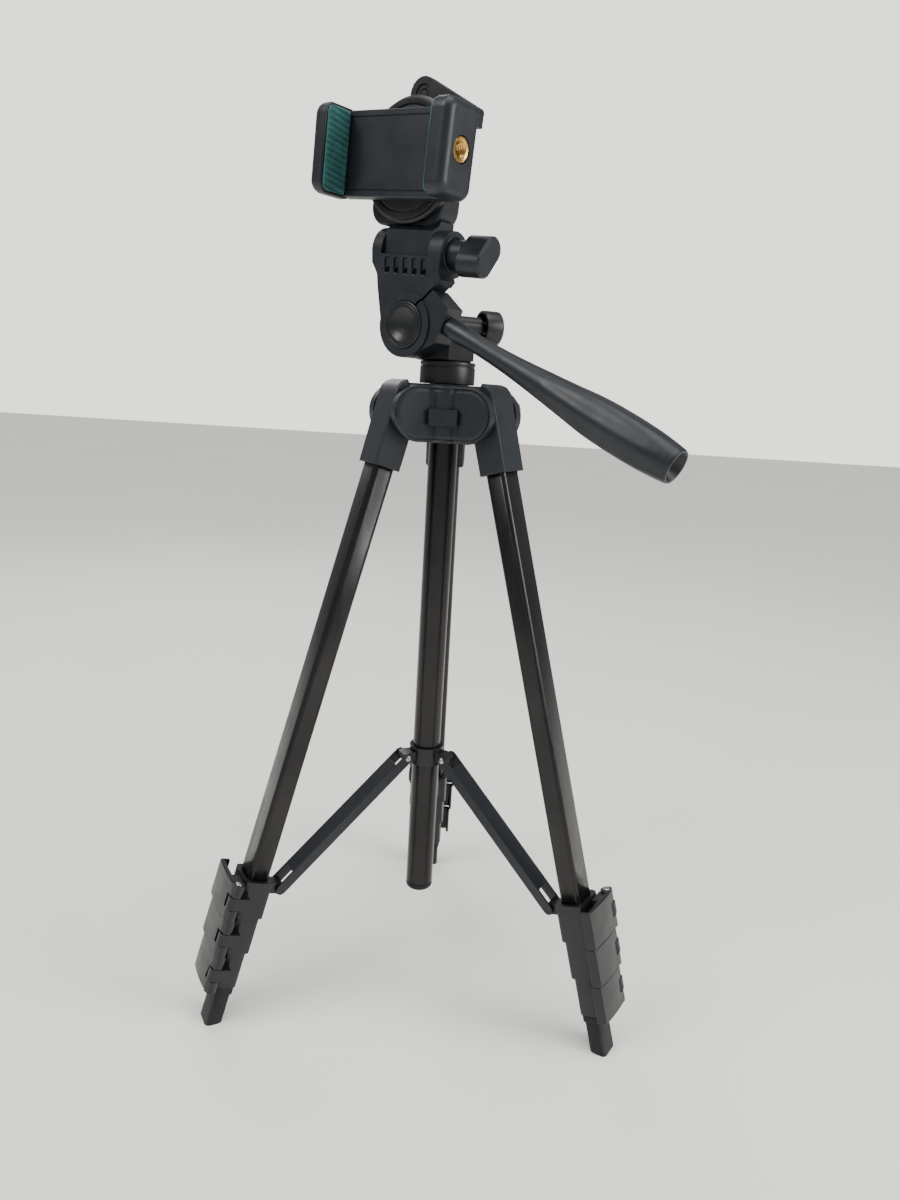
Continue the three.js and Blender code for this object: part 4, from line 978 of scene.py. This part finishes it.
def ribbed_pad(node, facing):
    """Soft pad with slanted ribs on the side that faces the phone."""
    low, high = local_box(node, HEAD)
    base = low.x if facing > 0 else high.x
    thick = high.x - low.x
    columns, rows, ribs, slant = 26, 230, 14, 0.8
    corner, depth, flatness = 3.0 * MM, 0.75 * MM, 1.8
    border_columns, border_rows = 2.2, 6
    shape = bmesh.new()
    front, back = [], []
    for i in range(columns + 1):
        u = i / columns
        y = low.y + (high.y - low.y) * u
        reach = min(y - low.y, high.y - y)
        fall = corner - min(reach, corner)
        trim = corner - math.sqrt(max(0.0, corner ** 2 - fall ** 2)) if u < 0.5 else 0
        front.append([])
        back.append([])
        for j in range(rows + 1):
            v = j / rows
            z = low.z + trim + (high.z - low.z - 2 * trim) * v
            wave = math.sin(2 * math.pi * (ribs * (z - low.z) / (high.z - low.z) + slant * u))
            rib = 0.5 + 0.5 * max(-1.0, min(1.0, flatness * wave))
            border = min(1.0, min(u, 1 - u) * columns / border_columns, min(v, 1 - v) * rows / border_rows)
            height = thick - depth * (1 - rib * border)
            front[i].append(shape.verts.new((base + facing * height, y, z)))
            back[i].append(shape.verts.new((base, y, z)))
    skin(shape, front, back)
    item = placed(from_bmesh(f"{node}_ribbed", shape), HEAD)
    smooth(item, 50)
    finish_piece(item, BODY_OF[node], "teal_rubber", node)


def insert(sideways, low, high, radius):
    """Brass insert with a chamfered mouth and a cut thread of 1.27 mm pitch."""
    pitch, bore, thread, sides = 1.27 * MM, 3.2 * MM, 0.5 * MM, 96
    rim = 0.3 * MM
    lip = [(radius, low), (radius, high - rim), (radius - rim, high), (bore + 1.3 * MM, high),
           (bore + 0.5 * MM, high - 0.6 * MM)]
    rings = [circle(reach, x, sides) for reach, x in lip]
    start, steps = high - 0.75 * MM, 60
    for step in range(steps + 1):
        x = start - (start - low) * step / steps
        ring = []
        for a in turns(sides):
            phase = (x / pitch + a / (2 * math.pi)) % 1.0
            reach = bore + thread * abs(phase - 0.5) * 2
            ring.append((reach * math.cos(a), reach * math.sin(a), x))
        rings.append(ring)
    item = placed(grid_solid("thread_insert_cut", rings, closed_ends=False), HEAD @ sideways)
    smooth(item, 40)
    finish_piece(item, "jaw", "brass", "thread_insert")


# ------------------------------------------------------------------ stage

def studio():
    """A pale floor, a bright backdrop that only the camera sees, soft area lights and a wide sky light."""
    low, high = cad_box
    half_floor, floor_depth = 6, 0.02
    floor = block("floor", (-half_floor, -half_floor, -floor_depth), (half_floor, half_floor, 0))
    material, tree, surface = shader("floor_paint", (0.80, 0.79, 0.76), 0.8)
    tint(tree, surface, noise(tree, 3.0, 6.0), (0.785, 0.775, 0.745), (0.815, 0.805, 0.775))
    bump(tree, surface, noise(tree, 220.0, 4.0), 0.08, 0.3 * MM)
    floor.data.materials.append(material)

    world = bpy.data.worlds.new("studio")
    bpy.context.scene.world = world
    world.use_nodes = True
    tree = world.node_tree
    seen = tree.nodes["Background"]
    seen.inputs["Color"].default_value = (0.88, 0.865, 0.83, 1)
    seen.inputs["Strength"].default_value = 2.2
    lit = tree.nodes.new("ShaderNodeBackground")
    lit.inputs["Color"].default_value = (0.82, 0.83, 0.84, 1)
    lit.inputs["Strength"].default_value = 0.42
    path = tree.nodes.new("ShaderNodeLightPath")
    mix = tree.nodes.new("ShaderNodeMixShader")
    tree.links.new(path.outputs["Is Camera Ray"], mix.inputs["Fac"])
    tree.links.new(lit.outputs["Background"], mix.inputs[1])
    tree.links.new(seen.outputs["Background"], mix.inputs[2])
    tree.links.new(mix.outputs["Shader"], tree.nodes["World Output"].inputs["Surface"])

    middle = (low + high) / 2
    area_light("key", middle + Vector((-0.75, -0.55, 0.95)), middle, 0.6, 11)
    area_light("fill", middle + Vector((1.05, -0.40, 0.45)), middle, 0.6, 12)
    area_light("rim", middle + Vector((-0.45, 0.9, 0.75)), middle, 0.7, 5)
    sky = bpy.data.lights.new("sky", "SUN")
    sky.energy = 2.2
    sky.angle = math.radians(50)
    item = bpy.data.objects.new("sky", sky)
    item.rotation_euler = (math.radians(12), math.radians(8), 0)
    bpy.context.scene.collection.objects.link(item)


def area_light(name, place, target, size, power):
    """A square lamp with its size in metres and its power in watts, aimed at the target."""
    light = bpy.data.lights.new(name, "AREA")
    light.energy = power
    light.size = size
    light.color = (1.0, 0.985, 0.965)
    item = bpy.data.objects.new(name, light)
    item.location = place
    item.rotation_mode = "QUATERNION"
    item.rotation_quaternion = (target - place).to_track_quat("-Z", "Y")
    bpy.context.scene.collection.objects.link(item)


def camera():
    """The photo's viewpoint, solved from where its feet, shoulders, locks, column and ring appear."""
    yaw, pitch, roll = (math.radians(a) for a in (-1.535, 13.0, 3.44))
    from_column, height = Vector((0.0209, -0.4723, 0.0)), 0.3311
    base = joint_place("head_pan")
    forward = Vector((math.sin(yaw) * math.cos(pitch), math.cos(yaw) * math.cos(pitch), -math.sin(pitch)))
    right = Vector((math.cos(yaw), -math.sin(yaw), 0))
    up = right.cross(forward)
    tilted_right = math.cos(roll) * right + math.sin(roll) * up
    tilted_up = -math.sin(roll) * right + math.cos(roll) * up
    data = bpy.data.cameras.new("camera")
    data.sensor_width = 36
    data.lens = 27
    item = bpy.data.objects.new("camera", data)
    place = Vector((base.x, base.y, 0)) + from_column + Vector((0, 0, height))
    item.matrix_world = basis(tilted_right, tilted_up, -forward, place)
    bpy.context.scene.collection.objects.link(item)
    bpy.context.scene.camera = item


camera()
studio()
for leg_side in SIDES:
    leg(leg_side)
hub()
column()
lock_knob()
refined("spreader_ring", 0.5 * MM, 4)
pan_parts()
tilt_parts()
handle()
flip_parts()
clip()
